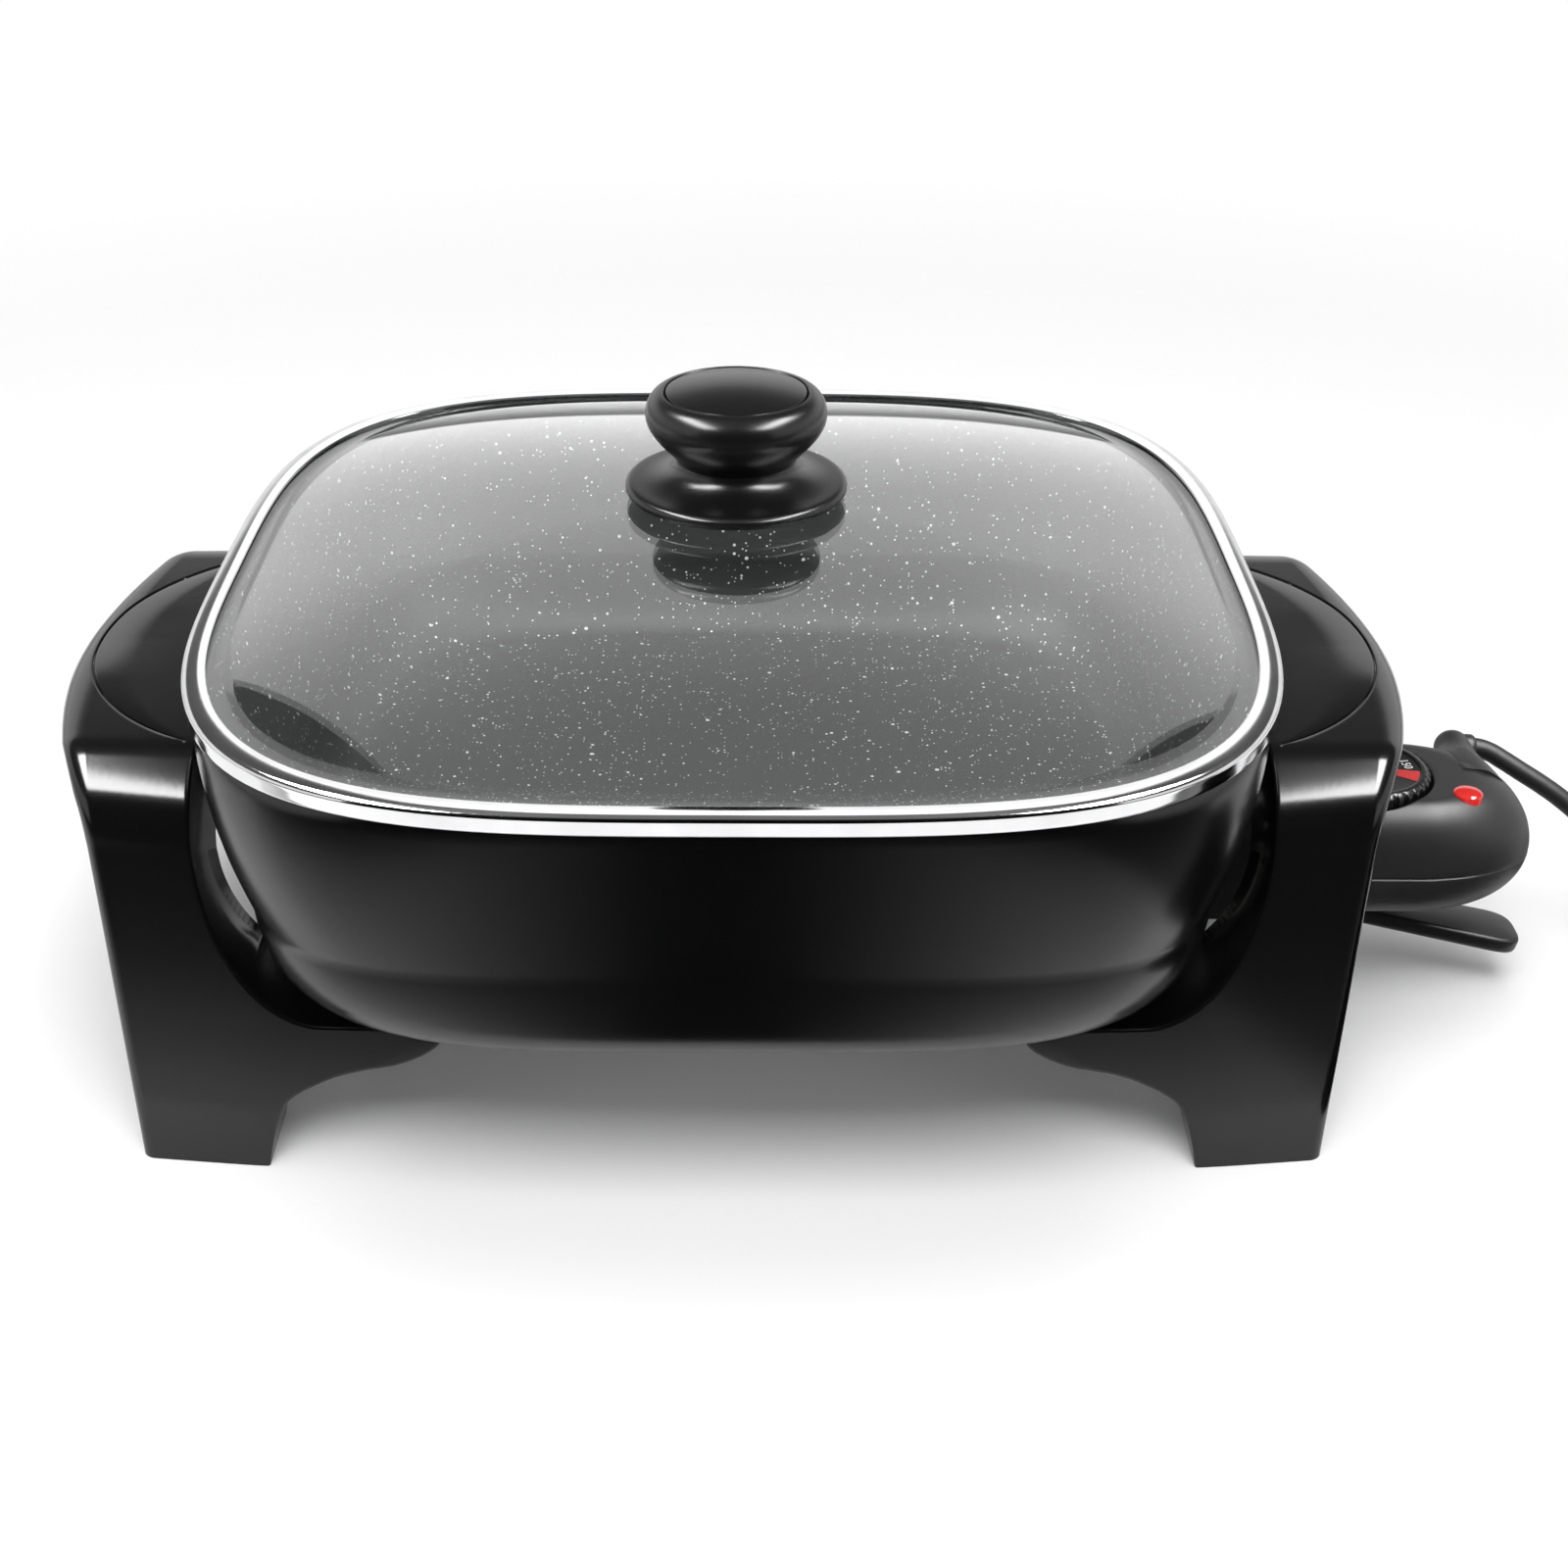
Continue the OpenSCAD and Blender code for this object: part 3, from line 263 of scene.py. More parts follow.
def plug_body():
    """Sleeve, shoulders, waist with six shallow ribs and a blunt front, along Y."""
    y = np.concatenate([np.linspace(-12, 0, 13), np.linspace(0.5, 10, 20),
                        np.linspace(10.25, 28, 72), [28.8, 29.4, 29.8, 30.0]])
    sleeve = 4.1 + 0.9 * (y + 12) / 12 - 0.35 * (np.sin(np.pi * (y + 12) / 2.4) > 0)
    body = 12 - 7 * (1 - ease(y, -1, 11)) - 0.9 * np.sin(np.pi * (y - 10) / 20) ** 2
    ribs = 0.35 * (np.cos(2 * np.pi * (y - 12) / 2.2) > 0.1) * ((y > 12.4) & (y < 24))
    wide = np.where(y < 0, sleeve, body - ribs)
    high = np.where(y < 0, sleeve, 5 + 0.5 * ease(y, 0, 8) - 0.6 * ribs)
    nose = np.sqrt(np.clip(1 - np.clip((y - 28) / 2, 0, 1) ** 2, 0, 1))
    wide = wide - 2 * (1 - nose)
    high = high - 2 * (1 - nose)
    power = 2 + 1.6 * ease(y, 0, 8)
    return skin(section_rings(np.stack([y, wide, high, power], axis=1)) + plug_at)


plug = mesh_piece("mains_plug", *plug_body(), "control", sharp=50)
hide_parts("plug")


# ---- Pan -------------------------------------------------------------------------------------
# A deep square pan cast in aluminium, with leaning walls and a large rounded lower edge. It is
# painted black outside and has a grey speckled non-stick coat inside.

pan_rim_half = 158.2
pan_base_half = 143.0
pan_wall = 3.2
underside_z = 60.0
floor_z = 66.0
brim_z = 146.0
edge_wide = 12.0
edge_high = 31.0
corner_power = 3.4
base_power = 4.1
waist_power = 5.0
socket_y = -4.0
tunnel_z = 55.0


def blend_of(a, b, t):
    """a at t 0 and b at t 1, in a straight line between."""
    return a + (b - a) * t


def wall_half(z):
    """Half width of the pan's wall at height z: a straight lean above the rounded edge."""
    return blend_of(pan_base_half, pan_rim_half, (z - underside_z - edge_high) / 55.0)


def wall_power(z):
    """Squareness of the pan's plan at height z: a parabola, squarest at the waist."""
    t = (z - underside_z) / (brim_z - underside_z)
    bow = 2 * (base_power - 2 * waist_power + corner_power)
    return base_power + (corner_power - base_power - bow) * t + bow * t * t


def square_rings(half, power, z, around=240):
    """Level superellipse rings |x/half|^p + |y/half|^p = 1, one for each place of the arrays."""
    a = full_turn(around)[None, :]
    half, power, z = [np.asarray(v, dtype=float)[:, None]
                      for v in np.broadcast_arrays(half, power, z)]
    r = ((np.abs(np.cos(a)) / half) ** power + (np.abs(np.sin(a)) / half) ** power) \
        ** (-1 / power)
    return np.stack([r * np.cos(a), r * np.sin(a), np.broadcast_to(z, r.shape)], axis=2)


def pan_profile():
    """Half widths and heights from the middle of the base round to the middle of the well.

    The lower edge is a quarter ellipse, outside and in; the brim is a small round.
    """
    a = np.radians(np.linspace(0, 90, 22))
    under = np.array([[r, underside_z] for r in (24, 60, 90, 110, 122)], dtype=float)
    edge = np.stack([pan_base_half - edge_wide * (1 - np.sin(a)),
                     underside_z + edge_high * (1 - np.cos(a))], axis=1)
    z = np.linspace(93, brim_z - 1.2, 14)
    outside = np.stack([wall_half(z), z], axis=1)
    b = np.radians(np.linspace(15, 90, 5))
    lip_x = wall_half(brim_z - 1.2) - 1.2
    lip_out = np.stack([lip_x + 1.2 * np.cos(b), brim_z - 1.2 + 1.2 * np.sin(b)], axis=1)
    lip_in = np.stack([lip_x - 1.2 - 0.8 * np.sin(b), brim_z - 0.8 * (1 - np.cos(b))], axis=1)
    z = np.linspace(brim_z - 2, 94, 14)
    inside = np.stack([wall_half(z) - pan_wall, z], axis=1)
    foot = wall_half(93.0) - pan_wall
    c = np.radians(np.linspace(90, 0, 22))
    well = np.stack([foot - 14 * (1 - np.sin(c)), floor_z + 27 * (1 - np.cos(c))], axis=1)
    base = np.array([[r, floor_z] for r in (118, 100, 75, 50, 24)], dtype=float)
    line = np.concatenate([under, edge, outside, lip_out, lip_in, inside, well, base])
    count_out = len(under) + len(edge) + len(outside) + len(lip_out)
    return line, count_out


profile, outside_rows = pan_profile()
pan_points, pan_faces = skin(square_rings(profile[:, 0], wall_power(profile[:, 1]),
                                          profile[:, 1]))
pan = mesh_piece("pan_body", pan_points, pan_faces, "skillet", sharp=60)
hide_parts("pan")


def turned_rings(rows, around=64, order=(0, 1, 2)):
    """Rings of a turned form from rows of [radius, place along its axis].

    The axis is Z; order (2, 0, 1) lays it along X and (0, 2, 1) along Y.
    """
    rows = np.asarray(rows, dtype=float)
    a = full_turn(around)
    rings = np.stack([rows[:, :1] * np.cos(a), rows[:, :1] * np.sin(a),
                      np.repeat(rows[:, 1:], around, axis=1)], axis=2)
    return rings[..., list(order)]


def joined(parts):
    """Several closed shapes, each points and faces, as the points and faces of one piece."""
    points = []
    faces = []
    count = 0
    for p, f in parts:
        points.append(p)
        faces += [[i + count for i in face] for face in f]
        count += len(p)
    return np.concatenate(points), faces


def bored_boss(at, outer, bore, low, high, depth):
    """A round boss with a blind hole from below and a small round at its mouth."""
    rows = [[0.01, low + depth], [bore, low + depth], [bore, low + 0.6], [bore + 0.5, low],
            [outer - 1.2, low], [outer - 0.35, low + 0.35], [outer, low + 1.2], [outer, high],
            [0.01, high]]
    return skin(turned_rings(rows) + np.array([*at, 0.0]))


def element_ring():
    """The cast ring: a square bar with a round groove below, carried round the middle.

    Its ends are cut square, so the turn where it starts depends on the radius.
    """
    g = np.radians(np.linspace(-21, 201, 25))
    line = np.concatenate([
        [[85.5, 61.0], [85.5, 55.0], [85.1, 53.9], [84.0, 53.5]],
        np.stack([78 + 4.15 * np.cos(g), tunnel_z + 4.15 * np.sin(g)], axis=1),
        [[72.0, 53.5], [70.9, 53.9], [70.5, 55.0], [70.5, 61.0]]])
    start = np.arcsin(27.4 / line[:, 0])
    turn = np.linspace(0, 1, 120)[:, None]
    a = start + (2 * np.pi - 2 * start) * turn
    rings = np.stack([line[:, 0] * np.cos(a), line[:, 0] * np.sin(a) + socket_y,
                      np.broadcast_to(line[:, 1], a.shape)], axis=2)
    return skin(rings, fans=False)


def probe_tunnel():
    """A bored bar along X under the base, from the bore's mouth inwards and back outside."""
    rows = [[4.2, 130.5], [4.2, 90.5], [4.7, 90.0], [7.0, 90.0], [8.0, 91.0], [8.0, 132.0],
            [7.0, 133.0]]
    return skin(turned_rings(rows, order=(2, 0, 1)) + np.array([0.0, socket_y, tunnel_z]),
                loop=True)


bosses = [bored_boss((sx * 96.0, sy * 87.875), 7.0, 2.5, 46.5, 60.6, 11.0)
          for sx in (-1, 1) for sy in (-1, 1)]
bosses += [bored_boss((120.0, socket_y + s * 26.0), 4.5, 1.75, 45.0, 60.6, 9.0)
           for s in (-1, 1)]
pan_under = mesh_piece("pan_castings", *joined(bosses + [element_ring(), probe_tunnel()]),
                       "skillet", sharp=30)
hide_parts("pan")


def feed(tree, node, inputs):
    """Sets a node's inputs, by name or number, to values, or links them to sockets."""
    for key, value in inputs.items():
        if isinstance(value, bpy.types.NodeSocket):
            tree.links.new(value, node.inputs[key])
        else:
            node.inputs[key].default_value = value


def shader(tree, kind, inputs=None, **settings):
    """A new shader node with its settings and its fed inputs."""
    node = tree.nodes.new("ShaderNode" + kind)
    for key, value in settings.items():
        setattr(node, key, value)
    feed(tree, node, inputs or {})
    return node


# A Mix node's two colour inputs share their names with its other inputs, so they go by number.
first_colour = 6
second_colour = 7


def moulded_skin_group():
    """Even satin surface: fine grain and broad waviness give roughness, tint and relief."""
    group = bpy.data.node_groups.new("moulded_skin", "ShaderNodeTree")
    for name, kind, value in (("Grain size", "Float", 900.0), ("Grain depth", "Float", 0.05),
                              ("Roughness", "Float", 0.35), ("Colour", "Color", None)):
        made = group.interface.new_socket(name, in_out="INPUT", socket_type="NodeSocket" + kind)
        if value is not None:
            made.default_value = value
    for name, kind in (("Colour", "Color"), ("Roughness", "Float"), ("Normal", "Vector")):
        group.interface.new_socket(name, in_out="OUTPUT", socket_type="NodeSocket" + kind)
    given = group.nodes.new("NodeGroupInput").outputs
    place = shader(group, "TexCoord").outputs["Object"]
    fine = shader(group, "TexNoise", {"Vector": place, "Scale": given["Grain size"],
                                      "Detail": 3.0})
    broad = shader(group, "TexNoise", {"Vector": place, "Scale": 14.0, "Detail": 4.0})
    less = shader(group, "Math", {0: given["Roughness"], 1: 0.05}, operation="SUBTRACT")
    wear = shader(group, "Math", {0: broad.outputs["Fac"], 1: 0.10, 2: less.outputs[0]},
                  operation="MULTIPLY_ADD")
    shade = shader(group, "Mix", {"Factor": 0.25, first_colour: given["Colour"],
                                  second_colour: fine.outputs["Fac"]},
                   data_type="RGBA", blend_type="MULTIPLY")
    bump = shader(group, "Bump", {"Distance": 0.0002, "Strength": given["Grain depth"],
                                  "Height": fine.outputs["Fac"]})
    feed(group, group.nodes.new("NodeGroupOutput"), {
        "Colour": shade.outputs[2], "Roughness": wear.outputs[0],
        "Normal": bump.outputs["Normal"]})
    return group


moulded_skin = moulded_skin_group()


def new_material(name):
    """A material's data, its node tree and its Principled BSDF."""
    material = bpy.data.materials.new(name)
    material.use_nodes = True
    return material, material.node_tree, material.node_tree.nodes["Principled BSDF"]


def satin(name, colour, roughness, grain=900.0, depth=0.05, metallic=0.0, coat=0.0):
    """A coated, moulded or cast finish: one colour with grain in its relief and gloss."""
    material, tree, surface = new_material(name)
    look = tree.nodes.new("ShaderNodeGroup")
    look.node_tree = moulded_skin
    feed(tree, look, {"Grain size": grain, "Grain depth": depth, "Roughness": roughness,
                      "Colour": (*colour, 1.0)})
    feed(tree, surface, {
        "Base Color": look.outputs["Colour"], "Roughness": look.outputs["Roughness"],
        "Normal": look.outputs["Normal"], "Metallic": metallic, "Coat Weight": coat,
        "Coat Roughness": 0.08})
    return material


def speckled_coat(name, ground, fleck, roughness):
    """Non-stick coat: a dark ground with light flecks at the middles of random cells.

    Three sizes of cell lie over each other, and each fleck's size is drawn with its cell.
    """
    material = satin(name, ground, roughness, grain=1600.0, depth=0.12)
    tree = material.node_tree
    surface = tree.nodes["Principled BSDF"]
    colour = surface.inputs["Base Color"].links[0].from_socket
    place = shader(tree, "TexCoord").outputs["Object"]
    for scale, share, size in ((230.0, 0.66, 0.18), (430.0, 0.62, 0.24), (760.0, 0.66, 0.28)):
        cells = shader(tree, "TexVoronoi", {"Vector": place, "Scale": scale})
        parts = shader(tree, "SeparateColor", {"Color": cells.outputs["Color"]})
        reach = shader(tree, "MapRange", {"Value": parts.outputs["Red"], "From Min": share,
                                          "From Max": 1.0, "To Min": 0.0, "To Max": size})
        near = shader(tree, "Math", {0: cells.outputs["Distance"], 1: reach.outputs["Result"]},
                      operation="LESS_THAN")
        tint = shader(tree, "Mix", {"Factor": near.outputs[0], first_colour: colour,
                                    second_colour: (*fleck, 1.0)}, data_type="RGBA")
        colour = tint.outputs[2]
    feed(tree, surface, {"Base Color": colour})
    return material


pan_paint = satin("pan_paint", (0.0025, 0.0025, 0.0027), 0.22, grain=700.0, depth=0.04)
non_stick = speckled_coat("non_stick_coat", (0.034, 0.0345, 0.035), (0.90, 0.91, 0.93), 0.40)
pan.data.materials.append(pan_paint)
pan.data.materials.append(non_stick)
first_inside = outside_rows * 240
well_middle = len(pan_points) - 1
inside = np.array([min(f) >= first_inside or well_middle in f for f in pan_faces])
pan.data.polygons.foreach_set("material_index", inside.astype(int))
pan_under.data.materials.append(pan_paint)


# ---- Lid glass -------------------------------------------------------------------------------
# Domed tempered glass, 4 mm thick, with a narrow bend between the dome and its flat border. It
# is held in the rolled rim, and clear with a faint green body.

rim_half = 160.0
rim_z = 152.0
border_a = 153.0
dome_a = 147.0
border_z = 150.9
apex_z = 174.5
hub_a = 14.0
glass_t = 4.0


def glass_height(a):
    """Top of the glass at half width a: a flat hub, a parabola, and a bend to the border.

    The parabola's lean at its foot is what the bend takes up, so the surface has no crease.
    """
    run = dome_a - hub_a
    bend = border_a - dome_a
    drop = (apex_z - border_z) / (1 + bend / run)
    dome = apex_z - drop * (np.clip(a - hub_a, 0, run) / run) ** 2
    past = np.clip(a - dome_a, 0, bend)
    return dome - 2 * drop / run * (past - past ** 2 / (2 * bend))


def glass_power(a):
    """Round in the middle and as square as the rim at the border."""
    return blend_of(2.0, corner_power, np.minimum(1, a / border_a) ** 0.6)


def lid_glass_rings():
    """Upper face from the rim to the hole, then the lower face back out to the rim."""
    a = np.concatenate([np.linspace(158, 153, 4), np.linspace(152.5, 146, 14),
                        np.linspace(143, 14, 38), [9, 3.5]])
    upper = square_rings(a, glass_power(a), glass_height(a), around=192)
    return np.concatenate([upper, upper[::-1] - np.array([0.0, 0.0, glass_t])])


lid_glass = mesh_piece("lid_glass_dome", *skin(lid_glass_rings(), loop=True), "lid", sharp=50)
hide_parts("lid_glass")


def clear_glass(name, tint):
    """Clear glass that lets shadow and scattered rays pass straight through."""
    material, tree, surface = new_material(name)
    place = shader(tree, "TexCoord").outputs["Object"]
    ripple = shader(tree, "TexNoise", {"Vector": place, "Scale": 9.0, "Detail": 1.0})
    wave = shader(tree, "Bump", {"Strength": 0.05, "Distance": 0.001,
                                 "Height": ripple.outputs["Fac"]})
    feed(tree, surface, {"Base Color": (*tint, 1.0), "Roughness": 0.0, "IOR": 1.5,
                         "Transmission Weight": 1.0, "Normal": wave.outputs["Normal"]})
    path = shader(tree, "LightPath").outputs
    either = shader(tree, "Math", {0: path["Is Shadow Ray"], 1: path["Is Diffuse Ray"]},
                    operation="MAXIMUM")
    through = shader(tree, "BsdfTransparent", {"Color": (0.90, 0.92, 0.91, 1.0)})
    mix = shader(tree, "MixShader", {"Fac": either.outputs[0], 1: surface.outputs["BSDF"],
                                     2: through.outputs["BSDF"]})
    feed(tree, tree.nodes["Material Output"], {"Surface": mix.outputs["Shader"]})
    return material


lid_glass.data.materials.append(clear_glass("tempered_glass", (0.97, 0.985, 0.975)))


# ---- Lid rim ---------------------------------------------------------------------------------
# Polished stainless strip rolled round the edge of the glass, with a skirt that drops inside
# the pan's brim.

def rim_rings():
    """The strip's section as [inset, height above the brim], carried round the lid."""
    a = np.radians(np.linspace(0, 90, 13))
    roll = np.stack([1.9 * (1 - np.cos(a)), 4.1 + 1.9 * np.sin(a)], axis=1)
    heel = np.stack([0.8 * (1 - np.sin(a)), 0.8 * (1 - np.cos(a))], axis=1)[::2]
    section = np.concatenate([
        heel, [[0, 1.5], [0, 3.4]], roll,
        [[2.6, 6.0], [5.9, 5.94], [6.3, 5.82], [6.5, 5.58], [6.4, 5.3]],
        [[5.4, 5.06], [2.4, 5.0], [0.7, 4.0], [0.7, 0.7], [6.6, 0.7],
         [6.6, -3.0], [5.9, -3.0], [5.9, 0.2], [5.7, 0.0]]])
    return square_rings(rim_half - section[:, 0], corner_power, brim_z + section[:, 1])


rim = mesh_piece("lid_rim_strip", *skin(rim_rings(), loop=True), "lid", sharp=50)
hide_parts("lid_rim")
rim.data.materials.append(satin("rim_steel_polish", (0.82, 0.82, 0.83), 0.10, grain=60.0,
                                depth=0.02, metallic=1.0))


# ---- Knob ------------------------------------------------------------------------------------
# Turned knob in glossy black phenolic: a wide thin foot that sweeps up into the neck, a waisted
# grip with a rounded shoulder, and an inset domed cap that hides the screw's insert.

knob_foot_z = apex_z + 1.4
neck_z = knob_foot_z + 10.5
knob_top_z = neck_z + 21.0


def foot_profile():
    """Rounded thin edge, flat top, then a quarter sweep up to the neck."""
    a = np.radians(np.linspace(-90, 90, 13))
    edge = np.stack([34 - 1.9 + 1.9 * np.cos(a), 1.9 + 1.9 * np.sin(a)], axis=1)
    b = np.radians(np.linspace(4, 90, 20))
    sweep = np.stack([32 - 14 * np.sin(b), 3.85 + 6.65 * (1 - np.cos(b)) ** 1.15], axis=1)
    rows = np.concatenate([[[4.0, 0.0], [20.0, 0.0]], edge, sweep, [[4.0, 10.5]]])
    rows[:, 1] += knob_foot_z
    return rows


def grip_profile():
    """Neck, waist that leans out to the widest line, round shoulder, and the cap's seat."""
    t = np.linspace(0, 1, 24)
    waist = np.stack([blend_of(18, 27.5, np.sin(np.pi / 2 * t) ** 1.1), 14.28 * t ** 0.95],
                     axis=1)
    a = np.radians(np.linspace(6, 90, 16))
    shoulder = np.stack([22.2 + 5.3 * np.cos(a), 14.28 + 6.72 * np.sin(a)], axis=1)
    rows = np.concatenate([[[4.0, 0.0], [17.4, 0.0]], waist, shoulder,
                           [[21.9, 20.75], [21.8, 18.9], [4.0, 18.8]]])
    rows[:, 1] += neck_z
    return rows


def cap_profile():
    """A shallow dome with a small rounded edge."""
    r = np.linspace(20.4, 0.3, 24)
    dome = np.stack([r, 2.2 + 2.6 * (1 - (r / 21.5) ** 2)], axis=1)
    rows = np.concatenate([[[4.0, 0.0], [21.2, 0.0], [21.5, 0.3], [21.5, 1.7], [21.2, 2.2]],
                           dome])
    rows[:, 1] += knob_top_z - 2.2
    return rows


phenolic = satin("knob_phenolic", (0.0045, 0.0045, 0.0045), 0.27, grain=300.0, depth=0.03)
for name, rows, node, finish_slot in (
        ("knob_foot", foot_profile(), "knob_base", "knob_plastic"),
        ("knob_waist", grip_profile(), "knob_grip", "knob_plastic"),
        ("knob_top", cap_profile(), "knob_cap", "cap_plastic")):
    turned = mesh_piece(name, *skin(turned_rings(rows, around=128)), "lid", sharp=40)
    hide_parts(node)
    turned.data.materials.append(phenolic)


# ---- Handles ---------------------------------------------------------------------------------
# One phenolic moulding a side: a splayed leg, a bowed grip folded over the pan's rim, and a
# second leg, with an arm under the pan at each leg. It is an open channel behind its face.

foot_y = 109.0
corner_y = 90.0
grip_top = 124.0
grip_under = 98.0
leg_depth = 28.0
grip_inner = 156.05
moulding_wall = 4.0
foot_inner = 140.0
leg_turn = 0.12
lag_z = 60.0
arm_top = 46.5
wing_x = 120.0
wing_wide = grip_inner - wing_x
wing_high = 57.0
wing_z = arm_top + wing_high
palm_centre = 126.0
palm_r = 75.5


def leg_line(z, inner):
    """Y of a leg's outer or inner face at height z: both lean in going up."""
    if inner:
        return blend_of(foot_y - leg_depth, corner_y - leg_depth, z / grip_under)
    return blend_of(foot_y, corner_y, z / grip_top)


def leg_outer_x(z):
    """Outer edge of a leg at height z."""
    return blend_of(179.5, 189.4, z / grip_top)


def bow_x(y):
    """Outer edge of the grip: a flat bow along its length."""
    return 207.8 - 18.4 * (np.abs(y) / corner_y) ** 1.8


def fold_line(inner, radius, steps):
    """[y, z] round the corner between a leg's leaning line and the grip's level line."""
    foot = leg_line(0.0, inner)
    cy = corner_y - leg_depth if inner else corner_y
    cz = grip_under if inner else grip_top
    turn = np.arccos((foot - cy) / np.hypot(foot - cy, cz))
    t = radius * np.tan(turn / 2)
    a = np.linspace(np.pi / 2 - turn, np.pi / 2, steps)
    return np.stack([cy - t + radius * np.cos(a), cz - radius + radius * np.sin(a)], axis=1)


fold_out = fold_line(False, 28.0, 21)
fold_in = fold_line(True, 16.0, 21)


def curve_through(points, steps):
    """Smooth curve through the points (Catmull-Rom), with the given steps between two."""
    p = np.asarray(points, dtype=float)
    p = np.concatenate([[2 * p[0] - p[1]], p, [2 * p[-1] - p[-2]]])
    t = np.linspace(0, 1, steps, endpoint=False)[None, :, None]
    a, b, c, d = [p[i:len(p) - 3 + i, None] for i in range(4)]
    line = 0.5 * (2 * b + (c - a) * t + (2 * a - 5 * b + 4 * c - d) * t ** 2
                  + (3 * b - 3 * c + d - a) * t ** 3)
    return np.concatenate([line.reshape(-1, 2), p[-2:-1]])


def leg_outline():
    """Inner edge of a leg as [x, z] from the table up: foot, arm, and the wing's ellipse.

    With it come the heights at which straight lines from those places meet the leg's outer
    edge; the lines fan out over the face and never cross.
    """
    low = curve_through([[foot_inner, 0], [138.9, 6], [137.4, 12], [135.6, 17.4], [132.6, 21.8],
                         [128.3, 24.9], [123.0, 27.6], [117.5, 29.9], [110, 31.8],
                         [102, 33.2], [96.3, 35.0], [91.4, 37.3], [87.9, 39.8],
                         [86.4, 42.3], [87.4, 45.0], [90.4, 46.4], [95, arm_top],
                         [104, arm_top], [112, arm_top], [wing_x, 46.6]], 4)
    a = np.radians(np.linspace(-86, -6, 26))
    wing = np.stack([wing_x + wing_wide * np.cos(a), wing_z + wing_high * np.sin(a)], axis=1)
    straight = np.array([[grip_inner, fold_out[0, 1] - 1]])
    edge = np.concatenate([low, wing, straight])
    along = np.concatenate([[0], np.cumsum(np.linalg.norm(np.diff(low, axis=0), axis=1))])
    start = along[8]
    level = np.where(along < start, low[:, 1],
                     blend_of(low[8, 1], 49.0, (along - start) / (along[-1] - start)))
    rise = blend_of(49.0, wing_z, (wing[:, 1] - arm_top) / wing_high)
    return edge, np.concatenate([level, np.maximum(rise, 49.3 + 0.1 * np.arange(26)),
                                 straight[:, 1]])


def inner_height(z):
    """Height on a leg's inner face behind height z on its outer face.

    The two are the same up to lag_z. Above it the inner one lags behind in proportion, so
    that it meets the fold's inner corner.
    """
    lag = (fold_in[0, 1] - lag_z) / (fold_out[0, 1] - lag_z)
    return np.where(z < lag_z, z, lag_z + (z - lag_z) * lag)


def turned_back(x):
    """How far a leg's face turns back at x: a hyperbola that starts at the foot's inner edge."""
    return leg_turn / 2 * (x - foot_inner + np.hypot(x - foot_inner, 8.0))


def in_leg(x, z, deep):
    """The place in a leg at x and at height z on its face, deep below that face.

    The face leans in going up and turns back outwards; the inner face follows its own lean.
    """
    inner_z = inner_height(z)
    dy = leg_line(inner_z, True) - leg_line(z, False)
    dz = inner_z - z
    far = np.hypot(dy, dz)
    return leg_line(z, False) - turned_back(x) + dy / far * deep, z + dz / far * deep


legs_edge, legs_level = leg_outline()
legs = len(legs_edge)
folds = len(fold_out)
grips = 30
stations = legs + folds + grips
bead = 1.1


def over_fold(line, top):
    """A fold's [y, z] line carried on along the level grip to its middle."""
    y = line[-1, 0] * (1 - np.linspace(0, 1, grips + 1)[1:])
    return np.concatenate([line, np.stack([y, np.full(grips, top)], axis=1)])


outer = over_fold(fold_out, grip_top)
way = over_fold(fold_in, grip_under) - outer
top_span = np.linalg.norm(way, axis=1)
way = way / top_span[:, None]


def edge_normals():
    """Unit normals [x, z] of the leg's inner edge, and -X along the fold and the grip."""
    step = np.gradient(legs_edge, axis=0)
    normal = np.stack([-step[:, 1], step[:, 0]], axis=1)
    normal /= np.linalg.norm(normal, axis=1)[:, None]
    return np.concatenate([normal, np.tile([-1.0, 0.0], (folds + grips, 1))])


def outer_edge():
    """X of the outer edge at each station: the leg's, eased over the fold into the bow."""
    bowed = bow_x(outer[:, 0])
    bowed[:folds] = blend_of(leg_outer_x(outer[:folds, 1]), bowed[:folds],
                             ease(np.arange(folds), 0, 9))
    return np.concatenate([leg_outer_x(legs_level), bowed])


def moulding_depth():
    """Distance from the outer face to the inner one at each station."""
    z = legs_edge[:, 1]
    inner_z = inner_height(z)
    leg_span = np.hypot(leg_line(inner_z, True) - leg_line(z, False), inner_z - z)
    return np.concatenate([leg_span, top_span])


